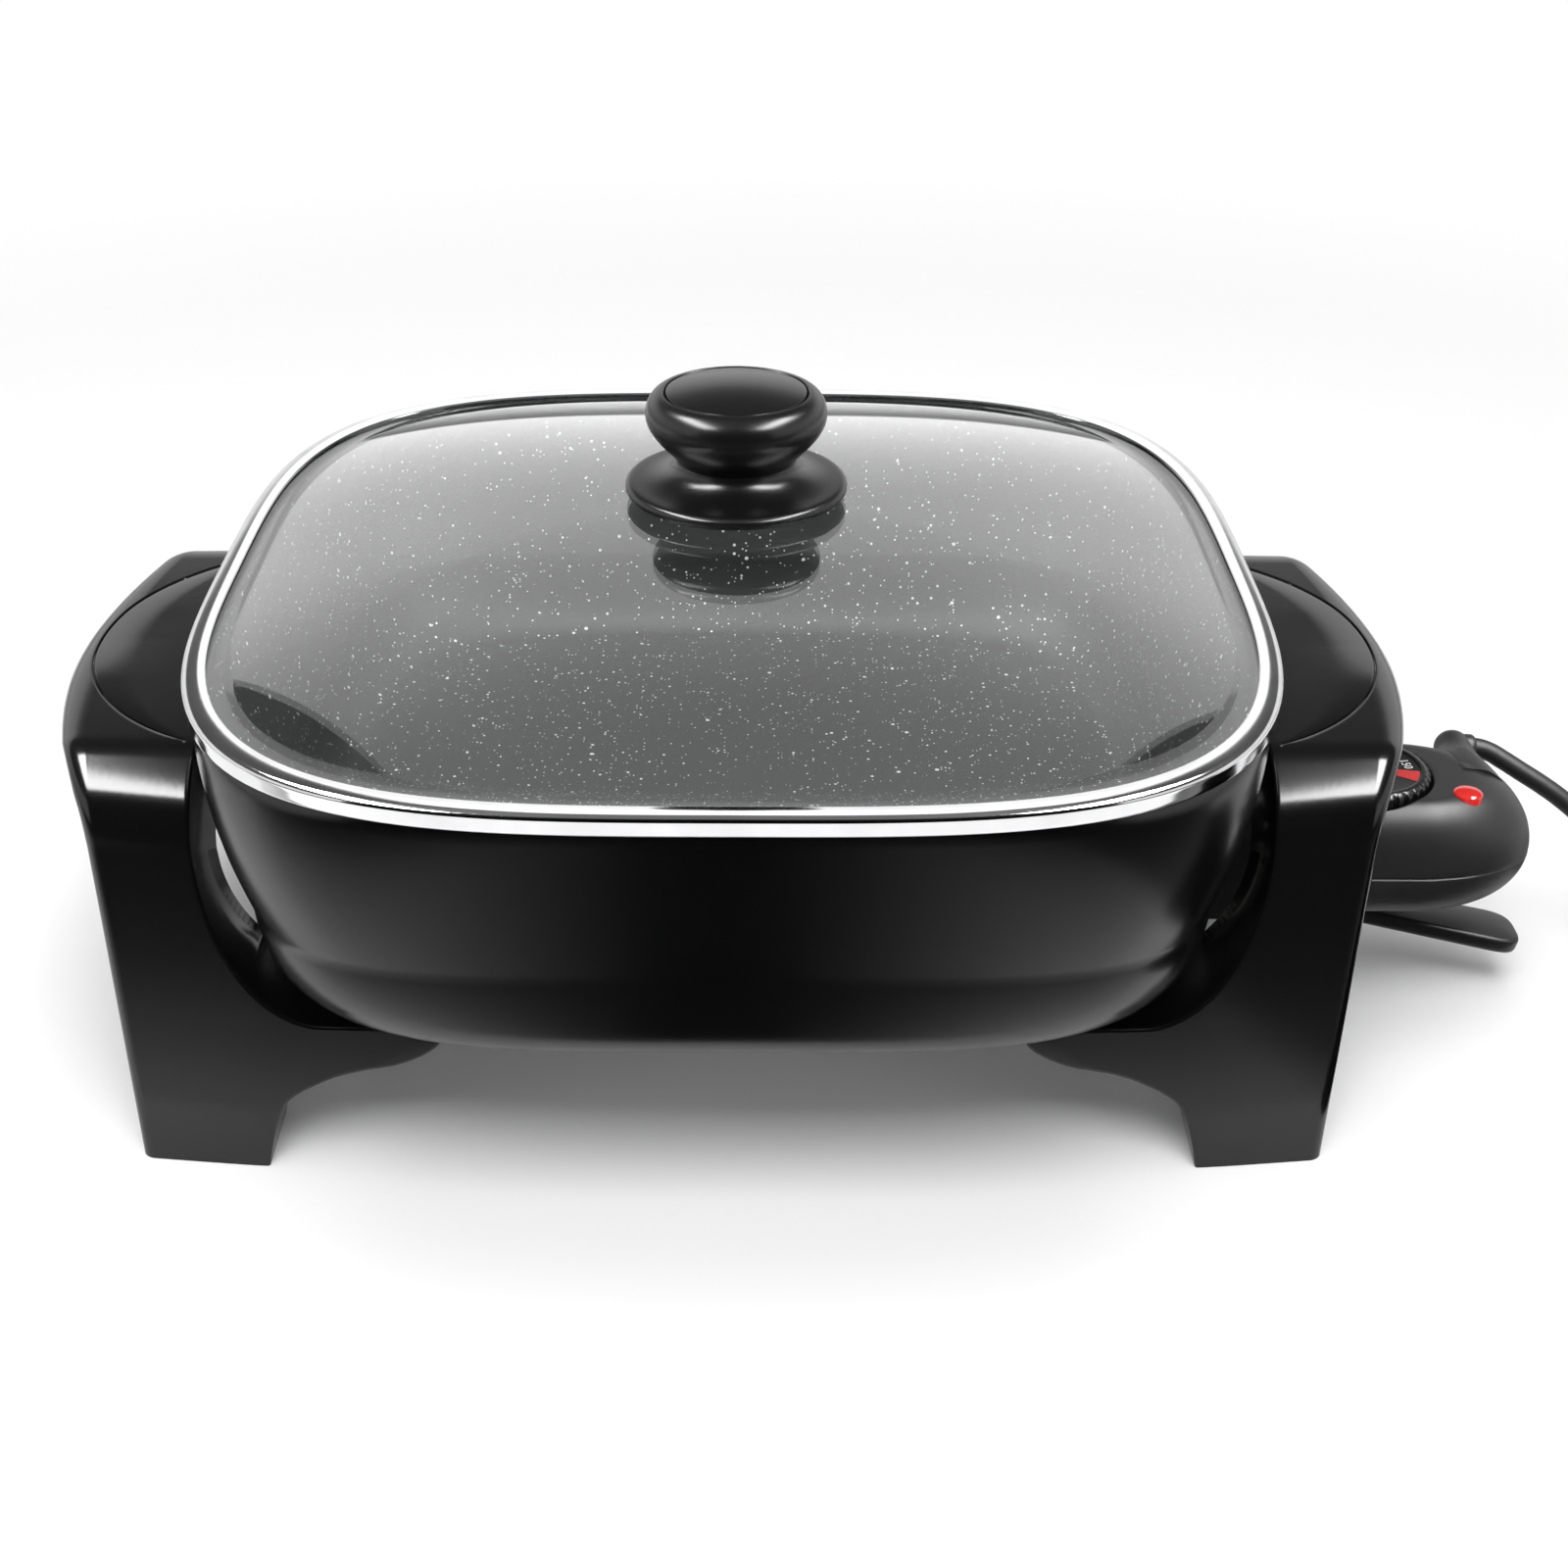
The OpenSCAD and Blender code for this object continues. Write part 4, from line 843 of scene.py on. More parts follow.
def section_columns(normal, x0, x1, left, right, rx, rd):
    """The section's places in order round it, each [x, rise above the edge, depth].

    They run over the inner bead, the face with its palm groove, the rounded outer edge, and
    back along the open channel's inside. No rise means a place on the fan of the face.
    """
    ones = np.ones(stations)
    depth = moulding_depth()
    hollow = np.maximum(x0, foot_inner) + moulding_wall
    columns = []
    for a in np.radians(np.linspace(0, 90, 5)):
        columns.append((x0 - normal[:, 0] * bead * (1 - math.cos(a)),
                        -normal[:, 1] * bead * (1 - math.cos(a)),
                        bead * (1 - math.sin(a)) * ones))
    palm = np.sqrt(np.maximum(palm_r ** 2 - outer[:, 0] ** 2, 0))
    arc = np.maximum(palm_centre + np.concatenate([np.zeros(legs), palm]), left + 2.5)

    def face(x):
        """Depth of the face at x: flat, then a quarter ellipse down to the outer edge."""
        run = np.clip((x - right) / rx, 0, 1)
        return rd * (1 - np.sqrt(1 - run ** 2))

    on_grip = np.concatenate([np.zeros(legs + folds - 1), np.ones(grips + 1)])
    groove = 0.9 * on_grip * ease(arc - left, 2.5, 6)
    for t in (0.3, 0.7):
        columns.append((blend_of(left, arc - 1.1, t), None, 0 * ones))
    for offset, part in ((-1.0, 0.0), (-0.55, 0.12), (-0.3, 0.8), (0.0, 1.0), (0.3, 0.8),
                         (0.55, 0.12), (1.0, 0.0)):
        columns.append((arc + offset, None, face(arc + offset) + groove * part))
    start = arc + 1.1
    edge_start = np.maximum(start, right)
    for t in np.linspace(0.1, 1.0, 7):
        x = blend_of(start, edge_start, t)
        columns.append((x, None, face(x)))
    first = np.arcsin(np.clip((edge_start + 0.05 - right) / rx, 0, 1))
    for t in np.linspace(0, 1, 13):
        x = right + rx * np.sin(blend_of(first, np.pi / 2, t))
        columns.append((x, None, face(x)))
    for x, deep in ((x1, blend_of(rd, depth, 0.5)), (x1, depth - 0.5), (x1 - 0.5, depth),
                    (x1 - moulding_wall, depth), (x1 - moulding_wall, rd + 2),
                    (x1 - moulding_wall - 1.5, 5.2 * ones), (x1 - rx - 2, 4.5 * ones),
                    (hollow + 1.5, 4.5 * ones), (hollow, 6.0 * ones), (hollow, depth)):
        columns.append((x, None, deep))
    columns.append((x0 - normal[:, 0] * 0.6, -normal[:, 1] * 0.6, depth))
    columns.append((x0, 0 * ones, depth - 0.6))
    columns.append((x0, 0 * ones, blend_of(bead, depth, 0.5)))
    return columns


def half_handle_rings():
    """Section rings from the foot to the middle of the grip, [station, place, xyz].

    The outer edge's rounding and the face's turning back change over the fold.
    """
    normal = edge_normals()
    soft = np.concatenate([np.zeros(legs), np.linspace(0, 0.5, folds),
                           np.linspace(0.5, 1, grips + 1)[1:]])
    fade = np.concatenate([np.ones(legs), np.linspace(1, 0, folds), np.zeros(grips)])
    rx = blend_of(4.0, 12.0, soft)
    rd = blend_of(3.5, 6.0, soft)
    x0 = np.concatenate([legs_edge[:, 0], np.full(folds + grips, grip_inner)])
    x1 = outer_edge()
    left = x0 - normal[:, 0] * bead
    right = x1 - rx
    columns = section_columns(normal, x0, x1, left, right, rx, rd)
    rings = np.zeros((stations, len(columns), 3))
    for place, (x, lift, deep) in enumerate(columns):
        share = np.clip((x - left) / (right - left), 0, 1)[:legs]
        if lift is None:
            z = blend_of(legs_edge[:, 1] - normal[:legs, 1] * bead, legs_level, share)
        else:
            z = legs_edge[:, 1] + lift[:legs]
        y_leg, z_leg = in_leg(x[:legs], np.maximum(z, 0), deep[:legs])
        back = (turned_back(x) * fade)[legs:]
        y_top = outer[:, 0] + way[:, 0] * deep[legs:] - back
        z_top = outer[:, 1] + way[:, 1] * deep[legs:]
        rings[:, place] = np.stack([x, np.concatenate([y_leg, y_top]),
                                    np.concatenate([z_leg, z_top])], axis=1)
    return rings


def handle_rings():
    """Both halves of the moulding as one stack of rings, from one foot over to the other."""
    half = half_handle_rings()
    return np.concatenate([half, half[::-1][1:] * np.array([1.0, -1.0, 1.0])])


phenolic_satin = satin("handle_phenolic", (0.0035, 0.0035, 0.0037), 0.15, grain=500.0,
                       depth=0.05)
handle_points, handle_faces = skin(handle_rings(), fans=False)
for name, side in (("handle_moulding_right", 1.0), ("handle_moulding_left", -1.0)):
    sided = handle_points * np.array([side, 1.0, 1.0])
    moulding = mesh_piece(name, sided, outward(sided, handle_faces), "skillet", sharp=42)
    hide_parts("handle_right" if side > 0 else "handle_left")
    moulding.data.materials.append(phenolic_satin)


# ---- Heat control housing --------------------------------------------------------------------
# Two phenolic shells that meet at a fine seam: blunt towards the pan, round behind. The cover's
# top has a round tray for the dial, and the lamp's lens stands out of it.

control_x = 215.0
seam_z = 57.0
cover_h = 23.0
cover_crown = (22.0, 18.0)
base_h = 19.0
base_keel = (24.0, 15.0)
pin_x = 189.0
pin_z = 34.0
dial_at = (205.0, socket_y)
tray_r = 21.8
tray_z = 74.4


def housing_size(c, crown):
    """Half lengths and half width of a level ring: c is 0 at the crown and 1 at the seam."""
    return 36 + 2 * c, blend_of(crown[0], 46.0, c), blend_of(crown[1], 30.0, c)


def inside_ring(x, y, c, crown):
    """Below 1 inside the ring of level c, and above 1 outside it."""
    front, back, half = housing_size(c, crown)
    dx = x - control_x
    reach = np.where(dx < 0, front, back)
    power = blend_of(5.0, 2.3, ease(dx, -14, 14))
    return (np.abs(dx) / reach) ** power + (np.abs(y - socket_y) / half) ** power


def halved(low, high, outside, rounds=40):
    """The place between low and high where outside becomes true, found by halving."""
    for _ in range(rounds):
        mid = (low + high) / 2
        out = outside(mid)
        high = np.where(out, mid, high)
        low = np.where(out, low, mid)
    return (low + high) / 2


def reach_of(c, a, at, crown):
    """Distance from a point in plan, along angle a, to the ring of level c."""
    low = np.zeros(a.shape)
    return halved(low, low + 90.0, lambda r: inside_ring(
        at[0] + r * np.cos(a), at[1] + r * np.sin(a), c, crown) > 1)


def level_at(x, y):
    """Level c of the cover's ring through a point in plan; 0 inside the crown."""
    return halved(np.zeros(x.shape), np.ones(x.shape),
                  lambda c: inside_ring(x, y, c, cover_crown) <= 1)


def plan_ring(middle, reach, a, z):
    """Points about a middle in plan, at the reach along each angle a, at height z."""
    return np.stack([middle[0] + reach * np.cos(a), middle[1] + reach * np.sin(a),
                     np.broadcast_to(z, a.shape)], axis=1)


def cover_rings():
    """Rings about the dial's axis: tray floor, tray wall with a rounded lip, then the dome."""
    a = full_turn(256)
    lip = tray_r + 0.9
    lip_c = level_at(dial_at[0] + lip * np.cos(a), dial_at[1] + lip * np.sin(a))
    lip_z = seam_z + cover_h * np.sqrt(1 - lip_c ** 2)
    rows = [(4.0, tray_z), (12.0, tray_z), (tray_r - 0.6, tray_z),
            (tray_r - 0.15, tray_z + 0.15), (tray_r, tray_z + 0.6),
            (tray_r, blend_of(tray_z, lip_z, 0.5))]
    for t in np.radians(np.linspace(0, 90, 6)):
        rows.append((tray_r + 0.9 * (1 - np.cos(t)), lip_z - 0.9 * (1 - np.sin(t))))
    crown = np.maximum(reach_of(0.0, a, dial_at, cover_crown), lip)
    for t in np.linspace(0, 1, 7)[1:]:
        rows.append((blend_of(lip, crown, t), lip_z))
    start = np.arccos(np.clip(np.where(crown > lip + 1e-3, 0.0, lip_c), 0, 1))
    for t in np.linspace(0, 1, 34)[1:]:
        fall = start * (1 - t)
        rows.append((reach_of(np.cos(fall), a, dial_at, cover_crown),
                     seam_z + cover_h * np.sin(fall)))
    edge = rows[-1][0]
    rows[-1] = (edge - 0.05, seam_z + 0.45)
    rows.append((edge - 0.45, seam_z + 0.05))
    return np.stack([plan_ring(dial_at, r, a, z) for r, z in rows])[::-1]


def base_rings():
    """Rings from the seam down to the keel."""
    a = full_turn(256)
    middle = (control_x, socket_y)
    seam = reach_of(1.0, a, middle, base_keel)
    rows = [(seam - 0.45, seam_z - 0.05), (seam - 0.05, seam_z - 0.45)]
    for t in np.radians(np.linspace(3, 90, 34)):
        rows.append((reach_of(np.cos(t), a, middle, base_keel), seam_z - base_h * np.sin(t)))
    rows.append((0.5 * rows[-1][0], seam_z - base_h))
    return np.stack([plan_ring(middle, r, a, z) for r, z in rows])


def lever_lug(side):
    """A rounded ear that carries the lever's pin: an upright slot outline with thickness."""
    t = np.linspace(np.pi, 2 * np.pi, 25)
    outline = np.concatenate([np.stack([pin_x + 5 * np.cos(t), pin_z + 5 * np.sin(t)], axis=1),
                              [[pin_x + 5, 40.0], [pin_x - 5, 40.0]]])
    inner = side * 10.4
    outer = side * 13.4
    middle = np.array([pin_x, pin_z + 2])
    rings = []
    for y, shrink in ((inner, 0.94), (inner + side * 0.4, 1.0), (outer - side * 0.4, 1.0),
                      (outer, 0.94)):
        flat = middle + (outline - middle) * shrink
        rings.append(np.stack([flat[:, 0], np.full(len(flat), socket_y + y), flat[:, 1]],
                              axis=1))
    return skin(rings)


housing_plastic = satin("housing_phenolic", (0.013, 0.013, 0.0134), 0.44, grain=800.0,
                        depth=0.08)
cover = mesh_piece("control_cover_shell", *skin(cover_rings()), "control", sharp=40)
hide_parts("control_cover")
cover.data.materials.append(housing_plastic)
base = mesh_piece("control_base_shell", *joined([skin(base_rings()), lever_lug(1),
                                                 lever_lug(-1)]), "control", sharp=40)
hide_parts("control_base")
base.data.materials.append(housing_plastic)


# ---- Neck of the housing ---------------------------------------------------------------------
# The cord leaves the cover through a short round neck, moulded with a swept root where it rises
# out of the cover, and a soft collar round the cord.

neck_at = np.array([242.5, 27.0, 72.5])


def neck_rings():
    """The blend of the cover and a rod along Y, seen along rays from the rod's own axis.

    The rod is 12 mm thick with a round end. A smooth minimum of its distance and the cover's
    gives the swept root, and each ray is halved until it meets the blend. The root's edge
    sinks into the cover.
    """
    around = 96
    a = full_turn(around)
    y = np.concatenate([np.linspace(-2, neck_at[1], 44), np.full(15, neck_at[1])])
    tip = np.concatenate([np.zeros(44), np.linspace(0, np.pi / 2, 16)[1:]])
    tip[-1] = np.pi / 2 - 0.02
    ray = np.stack([np.outer(np.cos(tip), np.cos(a)), np.outer(np.sin(tip), np.ones(around)),
                    np.outer(np.cos(tip), np.sin(a))], axis=2)
    foot = np.stack([np.full(len(y), neck_at[0]), y, np.full(len(y), neck_at[2])],
                    axis=1)[:, None, :]

    def housing_distance(p):
        """Nearly the distance outside the cover: how far its own ring there is passed."""
        z = np.clip((p[..., 2] - seam_z) / cover_h, 0, 0.9999)
        c = np.sqrt(1 - z ** 2)
        g = np.sqrt(inside_ring(p[..., 0], p[..., 1], c, cover_crown))
        _, back, half = housing_size(c, cover_crown)
        flat = (g - 1) * blend_of(back, half, 0.7)
        slope = np.sqrt(np.clip(1 - z ** 2, 0.05, 1))
        return np.maximum(flat * slope, p[..., 2] - seam_z - cover_h)

    def blend_distance(p):
        """The smooth minimum of the distances outside the rod and outside the cover."""
        along = np.clip(p[..., 1], -20, neck_at[1])
        rod = np.sqrt((p[..., 0] - neck_at[0]) ** 2 + (p[..., 1] - along) ** 2
                      + (p[..., 2] - neck_at[2]) ** 2) - 6.0
        shell = housing_distance(p)
        h = np.clip(0.5 + 0.5 * (shell - rod) / 5.0, 0, 1)
        return blend_of(shell, rod, h) - 5.0 * h * (1 - h)

    reach = halved(np.full(ray.shape[:2], 4.0), np.full(ray.shape[:2], 13.0),
                   lambda r: blend_distance(foot + r[..., None] * ray) > 0, rounds=36)
    reach = np.where(reach > 12.9, 6.0, reach)
    rings = foot + reach[..., None] * ray
    rings[..., 2] -= 1.1 * ease(reach, 8.5, 12.0)
    return rings


def collar():
    """A round mouth along +X with a rolled lip and a hollow for the cord."""
    rows = [[4.6, 0.0], [4.6, 5.9], [4.45, 6.6], [4.1, 7.2], [3.6, 7.5], [3.35, 7.3],
            [3.3, 6.0], [3.3, 0.0]]
    return skin(turned_rings(rows, order=(2, 0, 1)) + neck_at, loop=True)


neck = mesh_piece("control_neck", *joined([skin(neck_rings()), collar()]), "control",
                  sharp=60)
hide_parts("strain_relief")
neck.data.materials.append(housing_plastic)


# ---- Dial ------------------------------------------------------------------------------------
# The temperature dial: a fluted black disc with a printed ring of numbers and a red pointer
# mark, turning in the cover's tray.

def dial_rings():
    """A disc whose edge has 36 half-round flutes; its top is bevelled and slightly sunk."""
    a = full_turn(720)
    wave = np.abs(((a * 36 / (2 * np.pi)) % 1) - 0.5) * 2
    flute = 0.85 * np.sqrt(np.clip(1 - (wave / 0.55) ** 2, 0, 1))
    rows = [(8.0, 74.7, 0), (20.4, 74.7, 0.2), (21.0, 75.3, 1), (21.0, 80.4, 1),
            (20.6, 81.2, 0.6), (19.6, 82.0, 0.15), (18.9, 82.3, 0), (17.8, 82.3, 0),
            (17.5, 82.2, 0), (17.4, 81.85, 0), (17.0, 81.8, 0), (8.0, 81.8, 0)]
    return np.stack([plan_ring(dial_at, r - flute * k, a, z) for r, z, k in rows])


dial = mesh_piece("dial_disc", *skin(dial_rings()), "dial", sharp=40)
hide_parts("dial")
dial.data.materials.append(satin("dial_plastic_black", (0.005, 0.005, 0.0055), 0.30,
                                 grain=600.0, depth=0.04))


def dial_numbers(values, radius, size):
    """Plain numbers round the dial, each turned to face out, made one flat mesh."""
    made = []
    for place, value in values:
        text = bpy.data.curves.new("number", "FONT")
        text.body = value
        text.size = size / 1000
        text.align_x = "CENTER"
        text.align_y = "CENTER"
        text.extrude = 0.00005
        text.resolution_u = 3
        holder = bpy.data.objects.new("number", text)
        bpy.context.scene.collection.objects.link(holder)
        shape = bpy.data.meshes.new_from_object(holder)
        a = math.radians(place)
        at = in_frame([dial_at[0] + radius * math.cos(a), dial_at[1] + radius * math.sin(a),
                       81.88])
        turn = Matrix.Translation(at) @ Matrix.Rotation(a - math.pi / 2, 4, "Z")
        shape.transform(turn)
        made.append(shape)
        bpy.data.objects.remove(holder)
    points = []
    faces = []
    count = 0
    for shape in made:
        co = np.empty(len(shape.vertices) * 3)
        shape.vertices.foreach_get("co", co)
        points.append(co.reshape(-1, 3))
        faces += [[v + count for v in p.vertices] for p in shape.polygons]
        count += len(shape.vertices)
    whole = bpy.data.meshes.new("dial_numbers")
    whole.from_pydata(np.concatenate(points).tolist(), [], faces)
    whole.update()
    return linked("dial_numbers", whole, "dial")


white_ink = satin("white_ink", (0.80, 0.81, 0.83), 0.45, grain=500.0, depth=0.02)
red_ink = satin("red_ink", (0.62, 0.02, 0.02), 0.40, grain=500.0, depth=0.02)
numbers = dial_numbers([(40, "200"), (72, "250"), (104, "300"), (136, "350"), (168, "400"),
                        (8, "150")], 13.6, 4.2)
numbers.data.materials.append(white_ink)
wedge = np.radians(np.linspace(-34, -10, 12))
ink_top = np.concatenate([plan_ring(dial_at, 17.2, wedge, 81.9),
                          plan_ring(dial_at, 8.5, wedge[::-1], 81.9)])
ink_low = ink_top - np.array([0.0, 0.0, 0.12])
pointer = mesh_piece("dial_red_mark", *skin([ink_low, ink_top], fans=False), "dial",
                     smooth=False)
pointer.data.materials.append(red_ink)


# ---- Indicator lens --------------------------------------------------------------------------
# A small domed lens in clear red plastic, pushed through the cover over the neon lamp.

def lens_profile():
    """A stem and a shallow dome that stands proud of the cover."""
    a = np.radians(np.linspace(0, 90, 14))
    r = 4.7 * np.cos(a)
    dome = np.stack([np.maximum(r, 0.02), 79.9 + 1.5 * np.sin(a)], axis=1)
    return np.concatenate([[[0.5, 74.6], [5.8, 74.6], [5.8, 75.8], [4.7, 75.8], [4.7, 79.2]],
                           dome])


lens = mesh_piece("lamp_lens", *skin(turned_rings(lens_profile())
                                     + np.array([235.0, -18.0, 0.0])), "control", sharp=50)
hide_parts("indicator_lens")
red_lens = satin("red_lens_plastic", (0.72, 0.025, 0.02), 0.12, grain=300.0, depth=0.02,
                 coat=0.5)
lens.data.materials.append(red_lens)


# ---- Release lever ---------------------------------------------------------------------------
# A flat moulded lever under the housing: pinned at its front, sprung down, with rounded edges,
# a round finger end and an upright nose that pushes on the terminal guard.

lever_slope = math.radians(13)


def lever_slab():
    """Plan outline inset along its own way out at the rounded edges, then sloped down."""
    length = 75 / math.cos(lever_slope)
    t = np.linspace(-np.pi / 2, np.pi / 2, 33)
    power = 2 / 3.2
    tip = np.stack([length - 12 + 12 * np.abs(np.cos(t)) ** power,
                    10 * np.sign(np.sin(t)) * np.abs(np.sin(t)) ** power], axis=1)
    side = np.linspace(0, length - 12, 24)[1:-1]
    wide = blend_of(8.5, 10.0, side / (length - 12))
    outline = np.concatenate([[[0.0, -8.5]], np.stack([side, -wide], axis=1), tip,
                              np.stack([side, wide], axis=1)[::-1], [[0.0, 8.5]]])
    step = np.roll(outline, -1, axis=0) - np.roll(outline, 1, axis=0)
    out = np.stack([step[:, 1], -step[:, 0]], axis=1)
    out /= np.linalg.norm(out, axis=1)[:, None]
    edge = np.radians(np.linspace(0, 90, 6))
    inset = 1.5 * (1 - np.cos(edge))
    rise = 2.75 - 1.5 * (1 - np.sin(edge))
    rows = [(8.0, -2.75), (5.0, -2.75), *zip(inset[::-1], -rise[::-1]), *zip(inset, rise),
            (5.0, 3.1), (8.0, 3.25)]
    rings = []
    middle = np.array([length / 2, 0.0])
    for i, h in rows:
        if i > 4:
            flat = middle + (outline - middle) * [1 - i / middle[0], (10 - i) / 10]
        else:
            flat = outline - out * i
        rings.append(np.column_stack([flat, np.full(len(flat), h)]))
    slab = np.stack(rings)
    c = math.cos(lever_slope)
    s = math.sin(lever_slope)
    x = slab[..., 0] * c + slab[..., 2] * s
    z = -slab[..., 0] * s + slab[..., 2] * c
    return skin(np.stack([pin_x + x, socket_y + slab[..., 1], pin_z + z], axis=2), fans=False)


def lever_eye():
    """A round barrel along Y for the pin, with a fine chamfer."""
    rows = [[3.2, -10.0], [3.5, -9.7], [3.5, 9.7], [3.2, 10.0]]
    return skin(turned_rings(rows, 48, (0, 2, 1)) + np.array([pin_x, socket_y, pin_z]))


def soft_box(low, high, radius):
    """A box with rounded upright edges and softened ends, as a stack of rounded rings."""
    low = np.asarray(low, dtype=float)
    high = np.asarray(high, dtype=float)
    a = full_turn(48)
    corner = np.stack([np.sign(np.cos(a)), np.sign(np.sin(a))], axis=1)
    half = (high[:2] - low[:2]) / 2
    middle = (high[:2] + low[:2]) / 2
    rings = []
    for z, inset in ((low[2], radius * 0.6), (low[2] + radius * 0.3, radius * 0.15),
                     (low[2] + radius * 0.8, 0), (high[2] - radius * 0.8, 0),
                     (high[2] - radius * 0.3, radius * 0.15), (high[2], radius * 0.6)):
        core = corner * (half - radius)
        flat = core + (radius - inset) * np.stack([np.cos(a), np.sin(a)], axis=1)
        rings.append(np.column_stack([middle + flat, np.full(48, z)]))
    return skin(rings)


lever = mesh_piece("release_lever_slab", *joined([
    lever_slab(), lever_eye(), soft_box([174.4, -11, 32], [189, 3, 36], 1.2),
    soft_box([174.4, -11, 32], [177, 3, 44], 1.2)]), "lever", sharp=40)
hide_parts("release_lever")
lever.data.materials.append(satin("lever_plastic_dark", (0.005, 0.005, 0.0052), 0.38,
                                  grain=900.0, depth=0.10))


# ---- Pieces kept as they come from the frame -------------------------------------------------
# The element, its terminals, the screws, the works of the heat control and the plug's blades
# are plain turned, drawn or moulded parts whose solids are right; each gets its own finish.

rubber = satin("cord_rubber_black", (0.006, 0.006, 0.0063), 0.48, grain=1400.0, depth=0.15)
cord.data.materials.append(rubber)
tie.data.materials.append(rubber)
plug.data.materials.append(satin("plug_vinyl", (0.010, 0.010, 0.0105), 0.42, grain=900.0,
                                 depth=0.10))
sheath = satin("element_sheath", (0.30, 0.29, 0.28), 0.38, grain=900.0, depth=0.10,
               metallic=1.0)
nickel = satin("nickel_plate", (0.66, 0.65, 0.62), 0.22, grain=700.0, depth=0.04,
               metallic=1.0)
zinc = satin("zinc_plate", (0.56, 0.57, 0.58), 0.34, grain=900.0, depth=0.08, metallic=1.0)
brass = satin("brass", (0.72, 0.52, 0.25), 0.26, grain=900.0, depth=0.06, metallic=1.0)
steatite = satin("steatite_white", (0.72, 0.69, 0.62), 0.55, grain=500.0, depth=0.12)
guard_plastic = satin("guard_phenolic", (0.005, 0.005, 0.0053), 0.40, grain=700.0, depth=0.10)
block_plastic = satin("block_phenolic", (0.040, 0.034, 0.030), 0.45, grain=700.0, depth=0.12)
seal_rubber = satin("seal_silicone", (0.10, 0.10, 0.10), 0.55, grain=900.0, depth=0.08)
lamp_glow = satin("neon_lamp", (0.80, 0.30, 0.14), 0.10, grain=300.0, depth=0.02, coat=0.5)
kept = {
    "heating_element": sheath, "terminal_pins": nickel, "terminal_bushes": steatite,
    "terminal_guard": guard_plastic, "guard_screws": zinc, "handle_screws": zinc,
    "knob_insert": brass, "knob_seals": seal_rubber, "knob_washer": nickel,
    "knob_screw": nickel, "control_screws": zinc, "contact_block": block_plastic,
    "contact_sleeves": brass, "probe_tube": nickel, "sensing_rod": steatite,
    "thermostat": steatite, "thermostat_blade": brass, "indicator_lamp": lamp_glow,
    "dial_shaft": nickel, "lever_pin": zinc, "lever_spring": nickel, "plug_blades": brass}
for node, material in kept.items():
    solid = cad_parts[node]
    if not solid.material_slots:
        solid.data.materials.append(material)
    for slot in solid.material_slots:
        slot.material = material


# ---- Table and lights -----------------------------------------------------------------------
# The skillet stands on a plain white table under a white sky, in soft light from above and from
# both sides in front. Softboxes that only gloss shows give the pieces their sheen; cards that
# only gloss shows put painted dark and graded reflections into them.

def stage_sheet(name, corners, material):
    """A flat four-sided sheet that isn't part of the object; corners in millimetres."""
    mesh = bpy.data.meshes.new(name)
    mesh.from_pydata(in_frame(corners).tolist(), [], [[0, 1, 2, 3]])
    mesh.update()
    mesh.materials.append(material)
    sheet = bpy.data.objects.new(name, mesh)
    bpy.context.scene.collection.objects.link(sheet)
    return sheet


def matt(name, grey, glow):
    """A matt grey with no sheen that also gives off light of its own."""
    material, tree, surface = new_material(name)
    feed(tree, surface, {"Base Color": (grey, grey, grey, 1.0), "Roughness": 1.0,
                         "Specular IOR Level": 0.0, "Emission Color": (1.0, 1.0, 1.0, 1.0),
                         "Emission Strength": glow})
    return material


def white_far_off(material, near, far):
    """Makes the sheet plain white to the camera far from the skillet, and matt near it."""
    tree = material.node_tree
    length = shader(tree, "VectorMath", {0: shader(tree, "TexCoord").outputs["Object"]},
                    operation="LENGTH")
    mask = shader(tree, "MapRange", {"Value": length.outputs["Value"], "From Min": near,
                                     "From Max": far}, interpolation_type="SMOOTHSTEP")
    seen = shader(tree, "Math", {0: shader(tree, "LightPath").outputs["Is Camera Ray"],
                                 1: mask.outputs["Result"]}, operation="MULTIPLY")
    white = shader(tree, "Emission", {"Strength": 1.0})
    mix = shader(tree, "MixShader", {
        "Fac": seen.outputs[0], 1: tree.nodes["Principled BSDF"].outputs["BSDF"],
        2: white.outputs["Emission"]})
    feed(tree, tree.nodes["Material Output"], {"Surface": mix.outputs["Shader"]})


table_white = matt("table_white", 0.86, 0.03)
white_far_off(table_white, 0.55, 1.1)
stage_sheet("table", [[-9000, -9000, 0], [9000, -9000, 0], [9000, 9000, 0], [-9000, 9000, 0]],
            table_white)


def area_lamp(name, size, watts, hidden_from, pieces=None):
    """A rectangular lamp, its sides in metres, that the named rays and the camera miss.

    With pieces, it reaches those pieces and no other.
    """
    lamp = bpy.data.lights.new(name, "AREA")
    lamp.shape = "RECTANGLE"
    lamp.size, lamp.size_y = size
    lamp.energy = watts
    holder = bpy.data.objects.new(name, lamp)
    bpy.context.scene.collection.objects.link(holder)
    holder.visible_camera = False
    for ray in hidden_from:
        setattr(holder, "visible_" + ray, False)
    if pieces:
        only = bpy.data.collections.new(name + "_shown_by")
        for piece in pieces:
            only.objects.link(piece)
        holder.light_linking.receiver_collection = only
    return holder


def soft_light(name, at, towards, size, watts):
    """A large lamp that faces a point and lights what is matt; all in millimetres."""
    holder = area_lamp(name, (size[0] / 1000, size[1] / 1000), watts,
                       ("glossy", "transmission"))
    start = in_frame(at)
    way = in_frame(towards) - start
    way /= np.linalg.norm(way)
    side = np.cross(way, [0.0, 0.0, 1.0])
    side /= np.linalg.norm(side)
    up = np.cross(side, way)
    turned = Matrix([[side[i], up[i], -way[i]] for i in range(3)]).to_4x4()
    turned.translation = start
    holder.matrix_world = turned


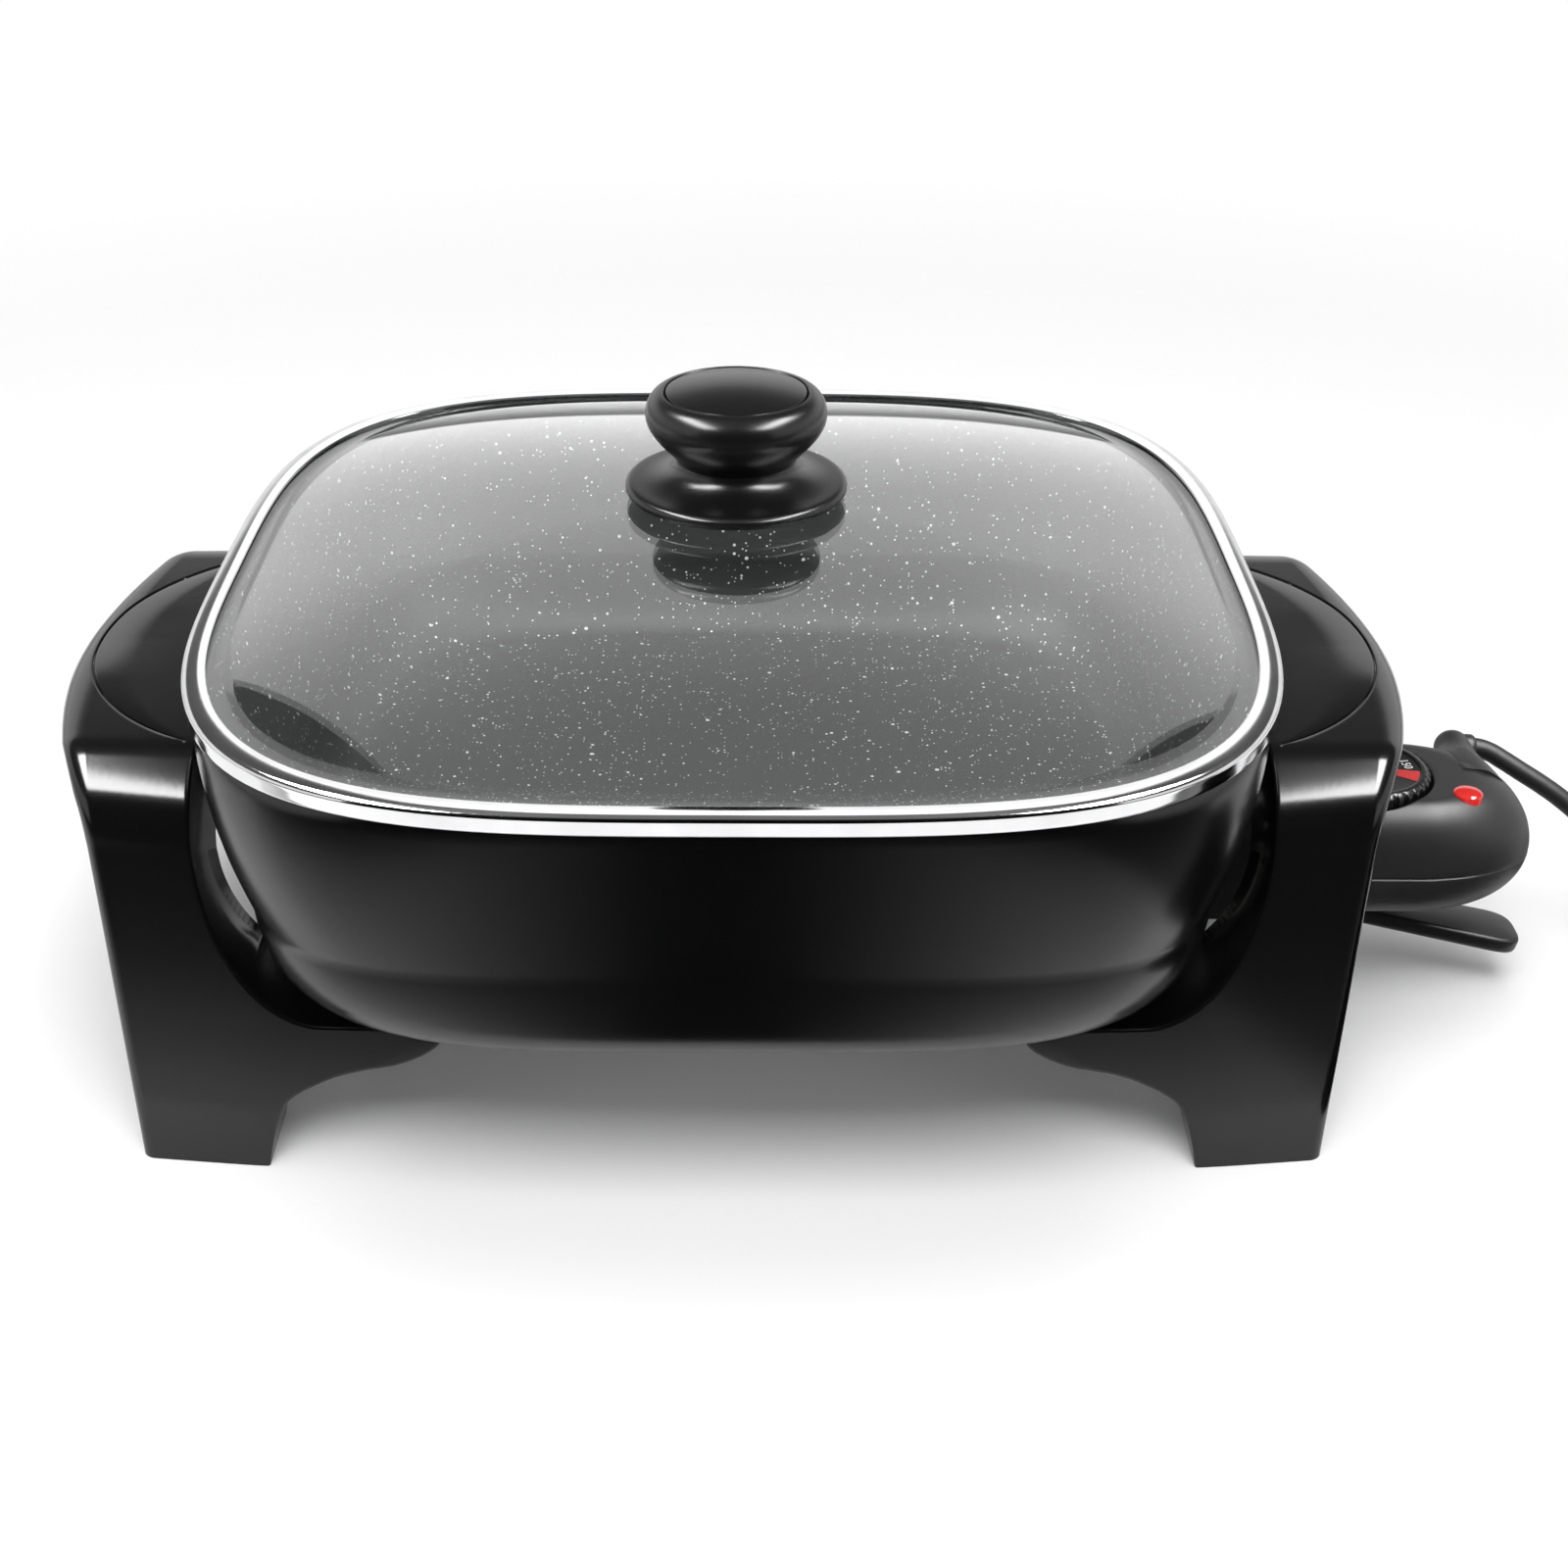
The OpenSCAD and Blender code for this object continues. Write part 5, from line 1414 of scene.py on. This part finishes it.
def flat_box(name, at, size, up, watts, pieces=None):
    """A level softbox that only gloss shows, facing up or down; all in millimetres."""
    holder = area_lamp(name, (size[0] / 1000, size[1] / 1000), watts,
                       ("diffuse", "transmission"), pieces)
    holder.location = in_frame(at)
    holder.rotation_euler = (math.pi if up else 0.0, 0.0, 0.0)


soft_light("light_left", [-1500, -900, 1150], [0, 0, 90], (700, 1500), 6)
soft_light("light_right", [1300, -1100, 1250], [0, 0, 90], (600, 1500), 5)
soft_light("light_front", [0, -1100, 1900], [0, 0, 90], (1400, 1100), 38)
soft_light("light_above", [0, 300, 2300], [0, 1, 90], (1800, 1300), 24)
flat_box("softbox_left", [-740, -330, 1100], (420, 1150), False, 38.0)
flat_box("softbox_right", [740, -330, 1100], (420, 1150), False, 38.0)
flat_box("rim_fill", [0, -500, 2], (1200, 560), True, 2.7, [rim])


def gloss_card(name, corners):
    """A black card that only gloss shows, for a painted dark reflection; gives the material, for
    one that shines.
    """
    material = matt(name, 0.0, 0.0)
    card = stage_sheet(name, corners, material)
    for ray in ("camera", "diffuse", "shadow", "transmission"):
        setattr(card, "visible_" + ray, False)
    return material


def grey_ramp(tree, value, stops):
    """Brightness from a value between 0 and 1; stops are [value, brightness]."""
    ramp = shader(tree, "ValToRGB", {"Fac": value})
    bar = ramp.color_ramp.elements
    for number, (at, level) in enumerate(stops):
        stop = bar[number] if number < 2 else bar.new(at)
        stop.position = at
        stop.color = (level, level, level, 1.0)
    return ramp.outputs["Color"]


def ramp_along(tree, axis, stops):
    """Brightness along an axis of the frame; stops are [metres, brightness]."""
    first, last = stops[0][0], stops[-1][0]
    split = shader(tree, "SeparateXYZ", {"Vector": shader(tree, "TexCoord").outputs["Object"]})
    share = shader(tree, "MapRange", {"Value": split.outputs[axis], "From Min": first,
                                      "From Max": last})
    return grey_ramp(tree, share.outputs["Result"],
                     [((at - first) / (last - first), level) for at, level in stops])


# The floor card is a painted reflection: it glows only for gloss, bright on both sides of the pan
# and dark before its middle, and it fades towards the viewer, so the pan's walls and the legs
# reflect this painted light and shade in place of the lit table.
near_y = -150
front_y = -1400
painted_floor_reflection = gloss_card("painted_floor_reflection", [[-1500, front_y, 0.5], [1500, front_y, 0.5],
                                       [1500, near_y, 0.5], [-1500, near_y, 0.5]])
floor_tree = painted_floor_reflection.node_tree
dark_x = middle_x - 0.006
across = ramp_along(floor_tree, "X", [
    (dark_x + at, level) for at, level in (
        (-0.130, 1.0), (-0.105, 0.85), (-0.075, 0.52), (-0.045, 0.18), (-0.020, 0.0),
        (0.020, 0.0), (0.045, 0.16), (0.075, 0.50), (0.105, 0.85), (0.130, 1.0),
        (0.205, 1.0), (0.235, 0.25))])
along = ramp_along(floor_tree, "Y", [
    (-1.0, 0.0), (-0.50, 0.01), (-0.40, 0.03), (-0.33, 0.08), (-0.28, 0.18), (-0.20, 0.62),
    (-0.17, 0.90), (-0.14, 1.0)])
both = shader(floor_tree, "Mix", {"Factor": 1.0, first_colour: across, second_colour: along},
              data_type="RGBA", blend_type="MULTIPLY")
feed(floor_tree, floor_tree.nodes["Principled BSDF"],
     {"Emission Color": both.outputs[2], "Emission Strength": 1.0})
# Plain black cards that only gloss shows, under the heat control and far in front: painted dark
# reflections in the housing's lower side and in the faces that look towards the viewer.
gloss_card("control_card", [[205, near_y, 0.5], [600, near_y, 0.5], [600, -30, 0.5],
                            [205, -30, 0.5]])
gloss_card("front_card", [[-1500, front_y, 0], [1500, front_y, 0], [1500, front_y, 1300],
                          [-1500, front_y, 1300]])


def far_box(name, left, right, high, stops, pieces):
    """A very large upright softbox far behind, whose brightness changes with elevation.

    Stops are [sine of the elevation seen from the lid, brightness]. Left and right are
    degrees from straight behind, high is the top's elevation. Only the given pieces show it.
    Its watts make a stop of 1 as bright as plain white.
    """
    away = 15.0
    left, right, high = [away * math.tan(math.radians(v)) for v in (left, right, high)]
    holder = area_lamp(name, (right - left, high), 0.0, ("diffuse",), pieces)
    lamp = holder.data
    lamp.energy = math.pi * lamp.size * lamp.size_y
    lamp.use_nodes = True
    tree = lamp.node_tree
    from_lid = shader(tree, "VectorMath", {0: shader(tree, "NewGeometry").outputs["Position"],
                                           1: (middle_x, 0.0, rim_z / 1000)},
                      operation="SUBTRACT")
    direction = shader(tree, "VectorMath", {0: from_lid.outputs["Vector"]},
                       operation="NORMALIZE")
    split = shader(tree, "SeparateXYZ", {"Vector": direction.outputs["Vector"]})
    feed(tree, tree.nodes["Emission"], {"Strength": grey_ramp(tree, split.outputs["Z"], stops)})
    turned = Matrix([[-1.0, 0.0, 0.0], [0.0, 0.0, 1.0], [0.0, 1.0, 0.0]]).to_4x4()
    turned.translation = (middle_x + (left + right) / 2, away, high / 2)
    holder.matrix_world = turned


far_box("far_softbox", -30.5, 31, 72,
        [(0.0, 0.45), (0.127, 0.42), (0.309, 0.30), (0.375, 0.25), (0.400, 1.12),
         (0.669, 1.10), (0.777, 0.82), (0.857, 0.58), (0.914, 0.40), (1.0, 0.30)], [lid_glass])
far_box("far_rim_fill", -11, 11, 55, [(0.0, 0.2), (0.375, 0.3), (0.400, 1.5), (1.0, 1.2)],
        [rim])

world = bpy.data.worlds.new("studio")
world.use_nodes = True
bpy.context.scene.world = world
sky = world.node_tree
split = shader(sky, "SeparateXYZ", {"Vector": shader(sky, "TexCoord").outputs["Generated"]})
feed(sky, sky.nodes["Background"], {
    "Color": grey_ramp(sky, split.outputs["Z"],
                       [(0.375, 1.0), (0.400, 0.10), (0.75, 0.10), (0.90, 0.20)]),
    "Strength": 1.0})

bpy.context.scene.view_settings.view_transform = "Standard"

bpy.context.view_layer.update()
